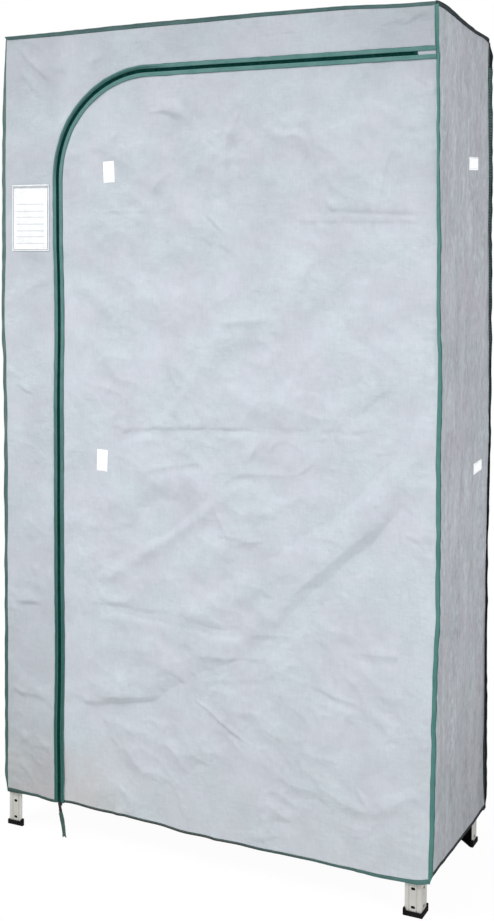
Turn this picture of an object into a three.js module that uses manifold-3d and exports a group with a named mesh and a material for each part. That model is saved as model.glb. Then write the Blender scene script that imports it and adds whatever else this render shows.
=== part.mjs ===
// Portable fabric wardrobe: a zip-up fabric cover over a bolted frame of perforated steel angle.
// Millimetres, +Z up. The origin is on the floor under the middle of the frame; +X is to the right
// of someone who faces the door, +Y is away from them, so the door is at -Y.
import * as THREE from 'three';
import { mergeVertices } from 'three/addons/utils/BufferGeometryUtils.js';
import Module from 'manifold-3d';

const wasm = await Module();
wasm.setup();

// ---------------------------------------------------------------- driving dimensions
const GAP = 0.3;               // between pieces that touch
// frame
const POST_X = 497;            // outer corner of the posts
const POST_Y = 197;
const ANGLE_LEG = 35;          // leg of the perforated angle
const ANGLE_T = 1.5;
const POST_Z0 = 3.3;           // the posts stand on the soles of the feet
const POST_Z1 = 1795;
const SLOT_Z0 = 18;            // first row of slots
const SLOT_PITCH = 37.5;
const SLOT_ROWS = 48;
const SLOT_EVERY = 1;          // 1 = every row
const SLOT_W = 9;
const SLOT_H = 6;
const FOOT_OUT = 3;            // the feet stand proud of the posts
const FOOT_LEG = 41;
const FOOT_SOLE = 3;
const FOOT_H = 10;
const FOOT_LOBE_H = 16;
const TRAY_H = 30;             // folded steel shelves
const TRAY_T = 1;
const TRAY_LIP = 8;
const ROW_BOTTOM = 3;          // slot rows that hold the shelves and the rail
const ROW_TOP = 47;
const ROW_RAIL = 43;
const BAR_H = 40;              // cross bars that carry the hanging rail
const BAR_T = 1.5;
const BAR_LEG = 18;
const RAIL_R = 12.5;
const RAIL_T = 1.2;
const BOLT_R = 2.6;
const BOLT_HEAD = 3.5;
const NUT_T = 4.8;
const HEX_R = 5.77;
// cover
const COVER_X = 508;           // middle of the side panels
const COVER_Y = 204;           // middle of the front and back panels
const CLOTH = 1;
const CLOTH_Z0 = 77;           // lower edge of the cloth
const CLOTH_Z1 = 1796.5;
const TOP_Z0 = 1797;           // top panel
const HEM_Z0 = 67;             // lower edge of the hem binding
const HEM_END = 5.6;           // where the hem stops, from the zip's centre line, clear of the slider
const FIN = 11.5;              // how far the corner bindings stand out
const FIN_T = 1.8;
const TOP_FIN_Z1 = 1812;
// zip: straight up with a slight lean to the left, a quarter turn, then straight across
const ZIP_X = -364.5;          // where the straight run ends and the turn begins
const ZIP_FOOT_X = -352;       // where it starts, at the lower edge of the cloth
const ZIP_TOP = 1710;
const ZIP_CX = -140;
const ZIP_CZ = 1480;
const ZIP_STEPS = 14;
const CHAIN_IN = 1.2;          // each half of the chain, measured from the zip's centre line
const CHAIN_OUT = 3.2;
const CHAIN_T = 2.4;
const TAPE_IN = 3.5;
const TAPE_OUT = 13.5;
const CHAIN_END_X = 468;
// door
const HINGE_X = 511;           // the seam that the door folds about, 3 mm outside both panels
const HINGE_Y = -207;
const DOOR_X1 = 503;
const UPPER_FIN_Z0 = 1709;     // the right front binding is cut here: above it is fixed, below it turns
const FRONT_MOST = 210.6;      // front of the slider's lug; the back bindings reach as far back

// ---------------------------------------------------------------- helpers
const cloth = (c, r = 0.9) => new THREE.MeshStandardMaterial({ color: c, roughness: r, metalness: 0 });
const MAT = {
  steel: () => new THREE.MeshStandardMaterial({ color: 0xc9c5bd, roughness: 0.45, metalness: 0.2 }),
  zinc: () => new THREE.MeshStandardMaterial({ color: 0xb4b6b8, roughness: 0.35, metalness: 0.9 }),
  chrome: () => new THREE.MeshStandardMaterial({ color: 0xd4d6d8, roughness: 0.15, metalness: 1 }),
  black: () => new THREE.MeshStandardMaterial({ color: 0x17181a, roughness: 0.5, metalness: 0 }),
  grey: () => cloth(0xcbd1d7),
  green: () => cloth(0x5f8f84, 0.8),
  darkGreen: () => cloth(0x1e5a52, 0.6),
  white: () => cloth(0xf0f0ee, 0.8),
  clear: () => new THREE.MeshStandardMaterial({ color: 0xe8ecee, roughness: 0.2, metalness: 0, transparent: true, opacity: 0.35 }),
};

function toSolid(geometry) {
  const g = geometry.clone();
  g.deleteAttribute('normal');
  g.deleteAttribute('uv');
  const m = mergeVertices(g, 1e-4);
  return new wasm.Manifold(new wasm.Mesh({
    numProp: 3,
    vertProperties: new Float32Array(m.attributes.position.array),
    triVerts: new Uint32Array(m.index.array),
  }));
}
function toGeometry(solid) {
  const m = solid.getMesh();
  const g = new THREE.BufferGeometry();
  const n = m.numProp;
  const p = new Float32Array((m.vertProperties.length / n) * 3);
  for (let i = 0, j = 0; i < m.vertProperties.length; i += n) {
    p[j++] = m.vertProperties[i];
    p[j++] = m.vertProperties[i + 1];
    p[j++] = m.vertProperties[i + 2];
  }
  g.setAttribute('position', new THREE.BufferAttribute(p, 3));
  g.setIndex(new THREE.BufferAttribute(new Uint32Array(m.triVerts), 1));
  g.computeVertexNormals();
  return g;
}
const join = (...list) => list.map(toSolid).reduce((a, b) => a.add(b));
const cut = (solid, ...list) => list.map(toSolid).reduce((a, b) => a.subtract(b), solid);

function box(x0, x1, y0, y1, z0, z1) {
  const g = new THREE.BoxGeometry(x1 - x0, y1 - y0, z1 - z0);
  g.translate((x0 + x1) / 2, (y0 + y1) / 2, (z0 + z1) / 2);
  return g;
}
function shapeOf(points, holes = []) {
  const s = new THREE.Shape(points.map(([a, b]) => new THREE.Vector2(a, b)));
  for (const h of holes) s.holes.push(new THREE.Path(h.map(([a, b]) => new THREE.Vector2(a, b))));
  return s;
}
// outlines in (x, y), (x, z) and (y, z), pushed along the third axis
function alongZ(points, z0, z1, holes) {
  const g = new THREE.ExtrudeGeometry(shapeOf(points, holes), { depth: z1 - z0, bevelEnabled: false, steps: 1 });
  g.translate(0, 0, z0);
  return g;
}
function alongY(points, y0, y1, holes) {
  const g = new THREE.ExtrudeGeometry(shapeOf(points, holes), { depth: y1 - y0, bevelEnabled: false, steps: 1 });
  g.rotateX(Math.PI / 2);
  g.translate(0, y1, 0);
  return g;
}
function alongX(points, x0, x1, holes) {
  const g = new THREE.ExtrudeGeometry(shapeOf(points, holes), { depth: x1 - x0, bevelEnabled: false, steps: 1 });
  g.applyMatrix4(new THREE.Matrix4().makeBasis(
    new THREE.Vector3(0, 1, 0), new THREE.Vector3(0, 0, 1), new THREE.Vector3(1, 0, 0)));
  g.translate(x0, 0, 0);
  return g;
}
// a round or hexagonal bar between two points on an axis
function bar(r, sides, axis, at, from, to, turn = 0) {
  const g = new THREE.CylinderGeometry(r, r, Math.abs(to - from), sides, 1);
  g.rotateY(turn);
  if (axis === 'x') g.rotateZ(-Math.PI / 2);
  if (axis === 'z') g.rotateX(Math.PI / 2);
  const mid = (from + to) / 2;
  if (axis === 'x') g.translate(mid, at[0], at[1]);
  if (axis === 'y') g.translate(at[0], mid, at[1]);
  if (axis === 'z') g.translate(at[0], at[1], mid);
  return g;
}
function mesh(name, geometry, material) {
  const g = geometry.isBufferGeometry ? geometry : toGeometry(geometry);
  const m = new THREE.Mesh(g, material);
  m.name = name;
  return m;
}
const rowZ = (k) => SLOT_Z0 + SLOT_PITCH * k;
const SLOT_MID = ANGLE_LEG / 2;

// ---------------------------------------------------------------- frame
const frame = new THREE.Group();

// One post, with its corner at the origin and its legs along +X and +Y. Turned about Z it fits
// every corner, because both legs have the same rows of slots.
function postGeometry() {
  const L = ANGLE_LEG, t = ANGLE_T;
  let s = toSolid(alongZ([[0, 0], [L, 0], [L, t], [t, t], [t, L], [0, L]], POST_Z0, POST_Z1));
  const cuts = [];
  for (let k = 0; k < SLOT_ROWS; k += 1) {
    const used = [ROW_BOTTOM, ROW_TOP, ROW_RAIL].includes(k) || k < 3;
    if (!used && k % SLOT_EVERY) continue;
    const z = rowZ(k);
    cuts.push(box(SLOT_MID - SLOT_W / 2, SLOT_MID + SLOT_W / 2, -1, t + 1, z - SLOT_H / 2, z + SLOT_H / 2));
    cuts.push(box(-1, t + 1, SLOT_MID - SLOT_W / 2, SLOT_MID + SLOT_W / 2, z - SLOT_H / 2, z + SLOT_H / 2));
  }
  s = s.subtract(cuts.map(toSolid).reduce((a, b) => a.add(b)));
  return toGeometry(s);
}
// One foot, drawn round the same corner: a sleeve that the end of the angle drops into, a sole
// with a web across the inside of the corner, and a raised lobe at the end of each leg.
function footGeometry() {
  const o = -FOOT_OUT, e = FOOT_LEG - FOOT_OUT, t = ANGLE_T;
  const inner = t + GAP + 2.5;
  const sole = alongZ([[o + 1, o], [e, o], [e, inner], [inner, e], [o, e], [o, o + 1]], 0, FOOT_SOLE);
  const wall = alongZ([[o + 1, o], [e, o], [e, inner], [inner, inner], [inner, e], [o, e], [o, o + 1]], FOOT_SOLE - 0.5, FOOT_H);
  const lobe = [[e - 6, FOOT_H - 1], [e, FOOT_H - 1], [e, FOOT_LOBE_H - 2], [e - 1.2, FOOT_LOBE_H], [e - 4, FOOT_LOBE_H], [e - 6, FOOT_LOBE_H - 2.4]];
  const lobeX = alongY(lobe, o, inner);
  const lobeY = alongX(lobe, o, inner);
  let s = join(sole, wall, lobeX, lobeY);
  const p0 = -GAP, p1 = t + GAP, L = ANGLE_LEG + GAP;
  s = cut(s, alongZ([[p0, p0], [L, p0], [L, p1], [p1, p1], [p1, L], [p0, L]], FOOT_SOLE, FOOT_LOBE_H + 5));
  return toGeometry(s);
}
const CORNERS = [
  ['front_left', -POST_X, -POST_Y, 0],
  ['front_right', POST_X, -POST_Y, Math.PI / 2],
  ['back_right', POST_X, POST_Y, Math.PI],
  ['back_left', -POST_X, POST_Y, -Math.PI / 2],
];
const post = postGeometry();
const foot = footGeometry();
for (const [where, x, y, turn] of CORNERS) {
  const p = mesh(`post_${where}`, post.clone(), MAT.steel());
  p.position.set(x, y, 0);
  p.rotation.z = turn;
  const f = mesh(`foot_${where}`, foot.clone(), MAT.black());
  f.position.set(x, y, 0);
  f.rotation.z = turn;
  frame.add(p, f);
}

// A weld nut fused to the inside of a flange, and the clearance hole through both.
// face: the inner face of the flange; out: +1 or -1, the side that the bolt comes from.
const weldNut = (axis, at, face, out) => bar(HEX_R, 6, axis, at, face + out * 0.3, face - out * NUT_T);
const boltHole = (axis, at, face, out) => bar(BOLT_R + 0.4, 8, axis, at, face + out * 6, face - out * (NUT_T + 2));

// Folded steel shelves: a plate with a flange all round and a narrow lip turned in under it.
// One bolt at each corner goes through a slot of the post into a weld nut on the flange.
const TRAY_X = POST_X - ANGLE_T - GAP;
const TRAY_Y = POST_Y - ANGLE_T - GAP;
const BOLT_X = POST_X - SLOT_MID;
const BOLT_Y = POST_Y - SLOT_MID;
function trayGeometry(row) {
  const z0 = rowZ(row) - TRAY_H / 2, z1 = z0 + TRAY_H, t = TRAY_T, lip = TRAY_LIP;
  let s = toSolid(box(-TRAY_X, TRAY_X, -TRAY_Y, TRAY_Y, z0, z1));
  s = cut(s, box(-TRAY_X + t, TRAY_X - t, -TRAY_Y + t, TRAY_Y - t, z0 + t, z1 - t));
  s = cut(s, box(-TRAY_X + lip, TRAY_X - lip, -TRAY_Y + lip, TRAY_Y - lip, z0 - 5, z0 + t + 1));
  const corners = [-1, 1].flatMap((sx) => [-1, 1].map((sy) => [[sx * BOLT_X, rowZ(row)], sy * (TRAY_Y - t), sy]));
  for (const c of corners) s = s.add(toSolid(weldNut('y', ...c)));
  return cut(s, ...corners.map((c) => boltHole('y', ...c)));
}
frame.add(mesh('shelf_bottom', trayGeometry(ROW_BOTTOM), MAT.steel()));
frame.add(mesh('shelf_top', trayGeometry(ROW_TOP), MAT.steel()));

// The hanging rail, its two sockets and the angle bars that carry them between the posts.
const RAIL_Z = rowZ(ROW_RAIL);
const SOCKET_FLANGE = 3;
const SOCKET_DEEP = 16;
const SCREW_Y = 19;
for (const [side, s] of [['left', -1], ['right', 1]]) {
  const a = s * TRAY_X, face = a - s * BAR_T;
  const [x0, x1] = s < 0 ? [a, face] : [face, a];
  const [l0, l1] = s < 0 ? [a, a + BAR_LEG] : [a - BAR_LEG, a];
  const ends = [-1, 1].map((q) => [[q * BOLT_Y, RAIL_Z], face, s]);
  let b = join(box(x0, x1, -TRAY_Y, TRAY_Y, RAIL_Z - BAR_H / 2, RAIL_Z + BAR_H / 2),
    box(l0, l1, -TRAY_Y, TRAY_Y, RAIL_Z + BAR_H / 2 - BAR_T, RAIL_Z + BAR_H / 2),
    ...ends.map((c) => weldNut('x', ...c)));
  b = cut(b, ...ends.map((c) => boltHole('x', ...c)),
    ...[-1, 1].map((q) => bar(2.2, 8, 'x', [q * SCREW_Y, RAIL_Z], a - 4, a + 4)));
  frame.add(mesh(`rail_bar_${side}`, b, MAT.steel()));

  const f0 = face - s * GAP, f1 = f0 - s * SOCKET_FLANGE, c1 = f1 - s * SOCKET_DEEP;
  const plate = [[-25, -10], [-20, -16], [20, -16], [25, -10], [25, 10], [20, 16], [-20, 16], [-25, 10]]
    .map(([y, z]) => [y, RAIL_Z + z]);
  let k = toSolid(alongX(plate, Math.min(f0, f1), Math.max(f0, f1)));
  k = k.add(toSolid(bar(15.2, 24, 'x', [0, RAIL_Z], f1 + s * 0.5, c1)));
  k = cut(k, bar(RAIL_R + 0.4, 24, 'x', [0, RAIL_Z], f1, c1 - s * 2),
    ...[-1, 1].map((q) => bar(2.2, 8, 'x', [q * SCREW_Y, RAIL_Z], a - 20, a + 20)));
  frame.add(mesh(`rail_socket_${side}`, k, MAT.zinc()));
}
const RAIL_HALF = TRAY_X - BAR_T - GAP - SOCKET_FLANGE - GAP;
frame.add(mesh('hanging_rail',
  cut(toSolid(bar(RAIL_R, 24, 'x', [0, RAIL_Z], -RAIL_HALF, RAIL_HALF)),
    bar(RAIL_R - RAIL_T, 24, 'x', [0, RAIL_Z], -RAIL_HALF - 1, RAIL_HALF + 1)), MAT.chrome()));

// Bolts: a flat hexagon head on a plain shank. Screws: a round head on a thinner shank.
function bolt(axis, at, face, out) {
  const head = bar(HEX_R, 6, axis, at, face + out * GAP, face + out * (GAP + BOLT_HEAD));
  const shank = bar(BOLT_R, 8, axis, at, face + out * (GAP + 1), face - out * 9);
  return join(head, shank);
}
for (const [side, sx] of [['left', -1], ['right', 1]]) for (const [end, sy] of [['front', -1], ['back', 1]]) {
  frame.add(mesh(`shelf_bolt_bottom_${end}_${side}`, bolt('y', [sx * BOLT_X, rowZ(ROW_BOTTOM)], sy * POST_Y, sy), MAT.zinc()));
  frame.add(mesh(`shelf_bolt_top_${end}_${side}`, bolt('y', [sx * BOLT_X, rowZ(ROW_TOP)], sy * POST_Y, sy), MAT.zinc()));
  frame.add(mesh(`rail_bolt_${end}_${side}`, bolt('x', [sy * BOLT_Y, RAIL_Z], sx * POST_X, sx), MAT.zinc()));
  const face = sx * (TRAY_X - BAR_T - GAP - SOCKET_FLANGE);
  frame.add(mesh(`rail_screw_${end}_${side}`, join(
    bar(3.6, 10, 'x', [sy * SCREW_Y, RAIL_Z], face - sx * GAP, face - sx * (GAP + 2)),
    bar(1.8, 8, 'x', [sy * SCREW_Y, RAIL_Z], face - sx * (GAP + 1), face + sx * 7)), MAT.zinc()));
}

// ---------------------------------------------------------------- cover
const cover = new THREE.Group();
const half = CLOTH / 2;
const FRONT0 = -COVER_Y - half, FRONT1 = -COVER_Y + half;

// a line that keeps a distance d from the zip's centre line, on the outer side when d > 0
function zipLine(d, z0, x1) {
  const pts = [[ZIP_FOOT_X - d, z0]];
  const rx = ZIP_CX - ZIP_X + d, rz = ZIP_TOP - ZIP_CZ + d;
  for (let i = 0; i <= ZIP_STEPS; i += 1) {
    const a = (i / ZIP_STEPS) * Math.PI / 2;
    pts.push([ZIP_CX - rx * Math.cos(a), ZIP_CZ + rz * Math.sin(a)]);
  }
  pts.push([x1, ZIP_TOP + d]);
  return pts;
}
const zipStrip = (d0, d1, z0, x1) => [...zipLine(d0, z0, x1), ...zipLine(d1, z0, x1).reverse()];

cover.add(mesh('cover_back_panel', box(-506, 506, COVER_Y - half, COVER_Y + half, CLOTH_Z0, CLOTH_Z1), MAT.grey()));
cover.add(mesh('cover_left_panel', box(-COVER_X - half, -COVER_X + half, -203, 203, CLOTH_Z0, CLOTH_Z1), MAT.grey()));
cover.add(mesh('cover_right_panel', box(COVER_X - half, COVER_X + half, -199, 203, CLOTH_Z0, CLOTH_Z1), MAT.grey()));
cover.add(mesh('cover_top_panel', box(-507, 507, -203, 203, TOP_Z0, TOP_Z0 + CLOTH), MAT.grey()));
cover.add(mesh('cover_front_surround', alongY([
  ...zipLine(TAPE_OUT + GAP, CLOTH_Z0, 506), [506, CLOTH_Z1], [-507, CLOTH_Z1], [-507, CLOTH_Z0],
], FRONT0, FRONT1), MAT.grey()));

// bindings: a ring that stands up round the top, a fin down each corner, and the hem
const ring = (o, i, z0, z1) => alongZ([[-o[0], -o[1]], [o[0], -o[1]], [o[0], o[1]], [-o[0], o[1]]], z0, z1,
  [[[-i[0], -i[1]], [-i[0], i[1]], [i[0], i[1]], [i[0], -i[1]]]]);
cover.add(mesh('binding_top', ring([508.5, 204.5], [506.7, 202.7], TOP_Z0 + CLOTH + GAP, TOP_FIN_Z1), MAT.green()));
const FIN_X0 = COVER_X + half + 0.7, FIN_X1 = FIN_X0 + FIN - 0.2;
cover.add(mesh('binding_front_left', box(-FIN_X1, -COVER_X - half - GAP, -COVER_Y - FIN_T / 2, -COVER_Y + FIN_T / 2, CLOTH_Z0, 1797.5), MAT.green()));
cover.add(mesh('binding_front_right_upper', box(COVER_X + half + GAP, FIN_X1, -COVER_Y - FIN_T / 2, -COVER_Y + FIN_T / 2, UPPER_FIN_Z0, 1797.5), MAT.green()));
for (const [side, s] of [['left', -1], ['right', 1]]) {
  // leans 30 degrees out of the back panel's plane
  const c = Math.cos(Math.PI / 6), n = Math.sin(Math.PI / 6), h = FIN_T / 2;
  const x0 = COVER_X + half + GAP + 0.6, y0 = COVER_Y + 0.4;
  const L = (FRONT_MOST - y0 - h * c) / n;
  const q = [[x0 + h * n, y0 - h * c], [x0 + L * c + h * n, y0 + L * n - h * c], [x0 + L * c - h * n, y0 + L * n + h * c], [x0 - h * n, y0 + h * c]];
  const pts = s > 0 ? q : q.map(([x, y]) => [-x, y]).reverse();
  cover.add(mesh(`binding_back_${side}`, alongZ(pts, CLOTH_Z0, 1797.5), MAT.green()));
}
const HO = [COVER_X + 1.5, COVER_Y + 1.5], HI = [COVER_X - 1.5, COVER_Y - 1.5];
cover.add(mesh('hem_binding', alongZ([
  [ZIP_FOOT_X - HEM_END, -HO[1]], [ZIP_FOOT_X - HEM_END, -HI[1]], [-HI[0], -HI[1]], [-HI[0], HI[1]], [HI[0], HI[1]], [HI[0], -199],
  [HO[0], -199], [HO[0], HO[1]], [-HO[0], HO[1]], [-HO[0], -HO[1]],
].reverse(), HEM_Z0, CLOTH_Z0 - GAP), MAT.green()));

// the fixed side of the zip
cover.add(mesh('zip_tape_fixed', alongY(zipStrip(TAPE_IN, TAPE_OUT, CLOTH_Z0, DOOR_X1), FRONT0, FRONT1), MAT.green()));
cover.add(mesh('zip_chain_fixed', alongY(zipStrip(CHAIN_IN, CHAIN_OUT, CLOTH_Z0, CHAIN_END_X), -COVER_Y - CHAIN_T / 2, -COVER_Y + CHAIN_T / 2), MAT.darkGreen()));
cover.add(mesh('zip_stop_top', box(CHAIN_END_X + GAP, CHAIN_END_X + 5, -COVER_Y - 1.7, -COVER_Y + 1.7, ZIP_TOP + CHAIN_IN, ZIP_TOP + CHAIN_OUT), MAT.darkGreen()));

// hook-and-loop patches on the right side
const SIDE_OUT = COVER_X + half + GAP;
cover.add(mesh('side_fastener_upper', box(SIDE_OUT, SIDE_OUT + 1.8, 50, 106, 1497, 1525), MAT.white()));
cover.add(mesh('side_fastener_lower', box(SIDE_OUT, SIDE_OUT + 1.8, 96, 152, 841, 871), MAT.white()));

// label pocket: a clear film on three raised welts, open at the top
{
  const x0 = -486, x1 = -387, z0 = 1322, z1 = 1470, w = 3, y1 = FRONT0 - GAP;
  const welts = alongY([[x0, z1], [x0, z0], [x1, z0], [x1, z1], [x1 - w, z1], [x1 - w, z0 + w], [x0 + w, z0 + w], [x0 + w, z1]], y1 - 1.4, y1);
  const film = box(x0, x1, y1 - 1.7, y1 - 1.2, z0, z1);
  cover.add(mesh('label_pocket', join(welts, film), MAT.clear()));
}
frame.add(cover);

const card = new THREE.Group();
card.add(mesh('label_card', box(-482, -391, FRONT0 - GAP - 0.85, FRONT0 - GAP - 0.4, 1325.5, 1463), MAT.white()));
cover.add(card);

// ---------------------------------------------------------------- door
const door = new THREE.Group();
door.add(mesh('door_panel', alongY([
  ...zipLine(-TAPE_OUT - GAP, CLOTH_Z0, DOOR_X1), [DOOR_X1, CLOTH_Z0],
].reverse(), FRONT0, FRONT1), MAT.grey()));
door.add(mesh('zip_tape_door', alongY(zipStrip(-TAPE_OUT, -TAPE_IN, CLOTH_Z0, DOOR_X1), FRONT0, FRONT1), MAT.green()));
door.add(mesh('zip_chain_door', alongY(zipStrip(-CHAIN_OUT, -CHAIN_IN, CLOTH_Z0, CHAIN_END_X), -COVER_Y - CHAIN_T / 2, -COVER_Y + CHAIN_T / 2), MAT.darkGreen()));
door.add(mesh('door_hem_binding', box(ZIP_FOOT_X + HEM_END, DOOR_X1, -HO[1], -HI[1], HEM_Z0, CLOTH_Z0 - GAP), MAT.green()));
door.add(mesh('door_fastener_upper', box(-245, -215.5, FRONT0 - GAP - 1.8, FRONT0 - GAP, 1471, 1518), MAT.white()));
door.add(mesh('door_fastener_lower', box(-260, -230, FRONT0 - GAP - 1.8, FRONT0 - GAP, 836.5, 885), MAT.white()));

// the binding that covers the hinge seam; it turns a third as far as the door, which it carries
const hingeBinding = new THREE.Group();
hingeBinding.position.set(HINGE_X, HINGE_Y, 0);
door.position.set(-HINGE_X, -HINGE_Y, 0);
hingeBinding.add(door);
hingeBinding.add(mesh('hinge_binding', box(-1.8, FIN_X1 - HINGE_X, -FIN_T / 2, FIN_T / 2, CLOTH_Z0, UPPER_FIN_Z0 - 2.5), MAT.green()));
cover.add(hingeBinding);

// ---------------------------------------------------------------- zip slider
// Drawn upright about the zip's foot and then leaned with the straight run.
const slider = new THREE.Group();
slider.position.set(ZIP_FOOT_X, 0, CLOTH_Z0);
slider.rotation.y = -Math.atan2(ZIP_FOOT_X - ZIP_X, ZIP_CZ - CLOTH_Z0);
const SL_Z0 = -11, SL_Z1 = 11, PIN_Z = 3, PIN_Y = -209.0;
{
  const front = alongY([[-4.8, SL_Z0 + 5], [-3, SL_Z0], [3, SL_Z0], [4.8, SL_Z0 + 5], [4.8, SL_Z1 - 2], [3.4, SL_Z1], [-3.4, SL_Z1], [-4.8, SL_Z1 - 2]],
    -COVER_Y - 3.2, -COVER_Y - CHAIN_T / 2 - GAP);
  const back = front.clone().translate(0, 2 * CHAIN_T / 2 + 2 * GAP + (3.2 - CHAIN_T / 2 - GAP), 0);
  const wedge = box(-0.8, 0.8, -COVER_Y - 2.5, -COVER_Y + 2.5, SL_Z1 - 9, SL_Z1 - 1);
  const lug = box(-1.2, 1.2, -FRONT_MOST, -COVER_Y - 3, PIN_Z - 3.5, PIN_Z + 3.5);
  slider.add(mesh('zip_slider_body', cut(join(front, back, wedge, lug),
    bar(1.15, 8, 'x', [PIN_Y, PIN_Z], -3, 3)), MAT.black()));
}
const pull = new THREE.Group();
{
  const y0 = PIN_Y - 0.7, y1 = PIN_Y + 0.7, z1 = PIN_Z + 0.7, z0 = -19, lean = 3.4;
  const plate = alongY([[-3.4, z1], [lean - 3.4, z0 + 2], [lean - 2, z0], [lean + 2, z0], [lean + 3.4, z0 + 2], [3.4, z1],
    [1.8, z1], [2.4, PIN_Z - 6], [-1.2, PIN_Z - 6], [-1.8, z1]].reverse(), y0, y1);
  const eye = box(lean - 2.3, lean + 1.7, y0 - 1, y1 + 1, z0 + 2, z0 + 4.5);
  pull.add(mesh('zip_pull_tab', cut(join(plate, bar(0.7, 8, 'x', [PIN_Y, PIN_Z], -2.4, 2.4)), eye), MAT.black()));
}
// the ribbon tied on the pull: a flat band that swings to the right as it hangs
{
  const line = [[-348.8, 57.7], [-346.4, 50], [-344, 40], [-342, 30], [-340.4, 20], [-339.2, 11], [-338.2, 1.5]];
  const w = 4.5;
  const left = line.map(([x, z], i) => [x - w * (i ? 1 : 0.6), z]);
  const right = line.map(([x, z], i) => [x + w * (i ? 1 : 0.6), z]);
  cover.add(mesh('pull_ribbon', alongY([...left, ...right.reverse()], PIN_Y - 0.5, PIN_Y + 0.5), MAT.green()));
}
slider.add(pull);
cover.add(slider);

const wardrobe = new THREE.Group();
wardrobe.add(frame);
export default wardrobe;
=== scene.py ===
import bpy, math
import numpy as np
from mathutils import Matrix, Vector


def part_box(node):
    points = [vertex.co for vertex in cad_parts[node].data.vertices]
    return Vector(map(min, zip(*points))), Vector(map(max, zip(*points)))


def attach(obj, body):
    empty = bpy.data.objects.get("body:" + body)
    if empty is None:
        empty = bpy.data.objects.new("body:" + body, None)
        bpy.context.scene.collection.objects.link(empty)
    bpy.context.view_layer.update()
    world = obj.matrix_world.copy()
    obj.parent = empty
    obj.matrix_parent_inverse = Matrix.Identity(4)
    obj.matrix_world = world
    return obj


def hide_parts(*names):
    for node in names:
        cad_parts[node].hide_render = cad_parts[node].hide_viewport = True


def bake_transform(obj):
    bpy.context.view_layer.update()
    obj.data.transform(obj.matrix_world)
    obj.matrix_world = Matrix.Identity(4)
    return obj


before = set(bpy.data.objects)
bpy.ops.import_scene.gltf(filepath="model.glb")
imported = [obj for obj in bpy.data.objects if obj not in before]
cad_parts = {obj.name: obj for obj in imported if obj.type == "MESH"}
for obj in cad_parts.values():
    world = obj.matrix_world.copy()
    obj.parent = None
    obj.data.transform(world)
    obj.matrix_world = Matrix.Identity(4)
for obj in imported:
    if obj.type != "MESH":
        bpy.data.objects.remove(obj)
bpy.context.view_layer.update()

scene = bpy.context.scene

# ---------------------------------------------------------------- camera
F_PX, CY, IMG_H = 1322.68, 303.42, 921.0
yaw, pitch, roll = math.radians(25.761), math.radians(1.756), math.radians(0.4502)
fwd = Vector((-math.sin(yaw) * math.cos(pitch), math.cos(yaw) * math.cos(pitch), -math.sin(pitch)))
right0 = Vector((math.cos(yaw), math.sin(yaw), 0.0))
up0 = right0.cross(fwd)
rv = right0 * math.cos(roll) + up0 * math.sin(roll)
uv = up0 * math.cos(roll) - right0 * math.sin(roll)
cam_data = bpy.data.cameras.new("camera")
cam = bpy.data.objects.new("camera", cam_data)
scene.collection.objects.link(cam)
cam_data.sensor_fit = 'VERTICAL'
cam_data.sensor_height = 36.0
cam_data.sensor_width = 36.0
cam_data.lens = F_PX * 36.0 / IMG_H
cam_data.shift_y = -(IMG_H / 2 - CY) / IMG_H
cam_data.clip_start, cam_data.clip_end = 0.05, 60.0
m = Matrix.Identity(4)
for i in range(3):
    m[i][0], m[i][1], m[i][2] = rv[i], uv[i], -fwd[i]
m[0][3], m[1][3], m[2][3] = 1.3018, -2.6826, 1.2986
cam.matrix_world = m
scene.camera = cam

# ---------------------------------------------------------------- small maths
def sstep(t):
    t = np.clip(t, 0.0, 1.0)
    return t * t * (3 - 2 * t)


def unit(a):
    return a / np.maximum(np.linalg.norm(a, axis=-1, keepdims=True), 1e-12)


def tab(xs, ys, sigma=0.03, step=0.004):
    """A smooth curve through a table, as a function of its first column."""
    xs, ys = np.asarray(xs, float), np.asarray(ys, float)
    o = np.argsort(xs)
    xs, ys = xs[o], ys[o]
    g = np.arange(xs[0], xs[-1] + step, step)
    v = np.interp(g, xs, ys)
    r = max(1, int(3 * sigma / step))
    k = np.exp(-0.5 * (np.arange(-r, r + 1) * step / sigma) ** 2)
    k /= k.sum()
    pad = np.concatenate([2 * v[0] - v[1:r + 1][::-1], v, 2 * v[-1] - v[-r - 1:-1][::-1]])
    s = np.convolve(pad, k, 'valid')
    return lambda q: np.interp(q, g, s)


class Waves:
    """Smooth deterministic noise: a sum of plane waves with wavelengths near the given one."""
    def __init__(self, seed, wavelength, count=14, stretch=(1.0, 1.0)):
        rng = np.random.default_rng(seed)
        ang = rng.uniform(0, math.pi, count)
        k = 2 * math.pi / (wavelength * rng.uniform(0.65, 1.6, count))
        self.kx, self.kz = k * np.cos(ang) / stretch[0], k * np.sin(ang) / stretch[1]
        self.ph = rng.uniform(0, 2 * math.pi, count)
        self.a = 1.0 / math.sqrt(count / 2)

    def __call__(self, x, z):
        x, z = np.asarray(x, float), np.asarray(z, float)
        out = np.zeros(np.broadcast(x, z).shape)
        for kx, kz, p in zip(self.kx, self.kz, self.ph):
            out += np.sin(kx * x + kz * z + p)
        return out * self.a


class Wob:
    """Smooth deterministic noise along a line."""
    def __init__(self, seed, wavelength, count=9):
        rng = np.random.default_rng(seed)
        self.k = 2 * math.pi / (wavelength * rng.uniform(0.5, 2.0, count))
        self.ph = rng.uniform(0, 2 * math.pi, count)
        self.a = 1.0 / math.sqrt(count / 2)

    def __call__(self, s):
        s = np.asarray(s, float)
        out = np.zeros(s.shape)
        for k, p in zip(self.k, self.ph):
            out += np.sin(k * s + p)
        return out * self.a


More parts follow.
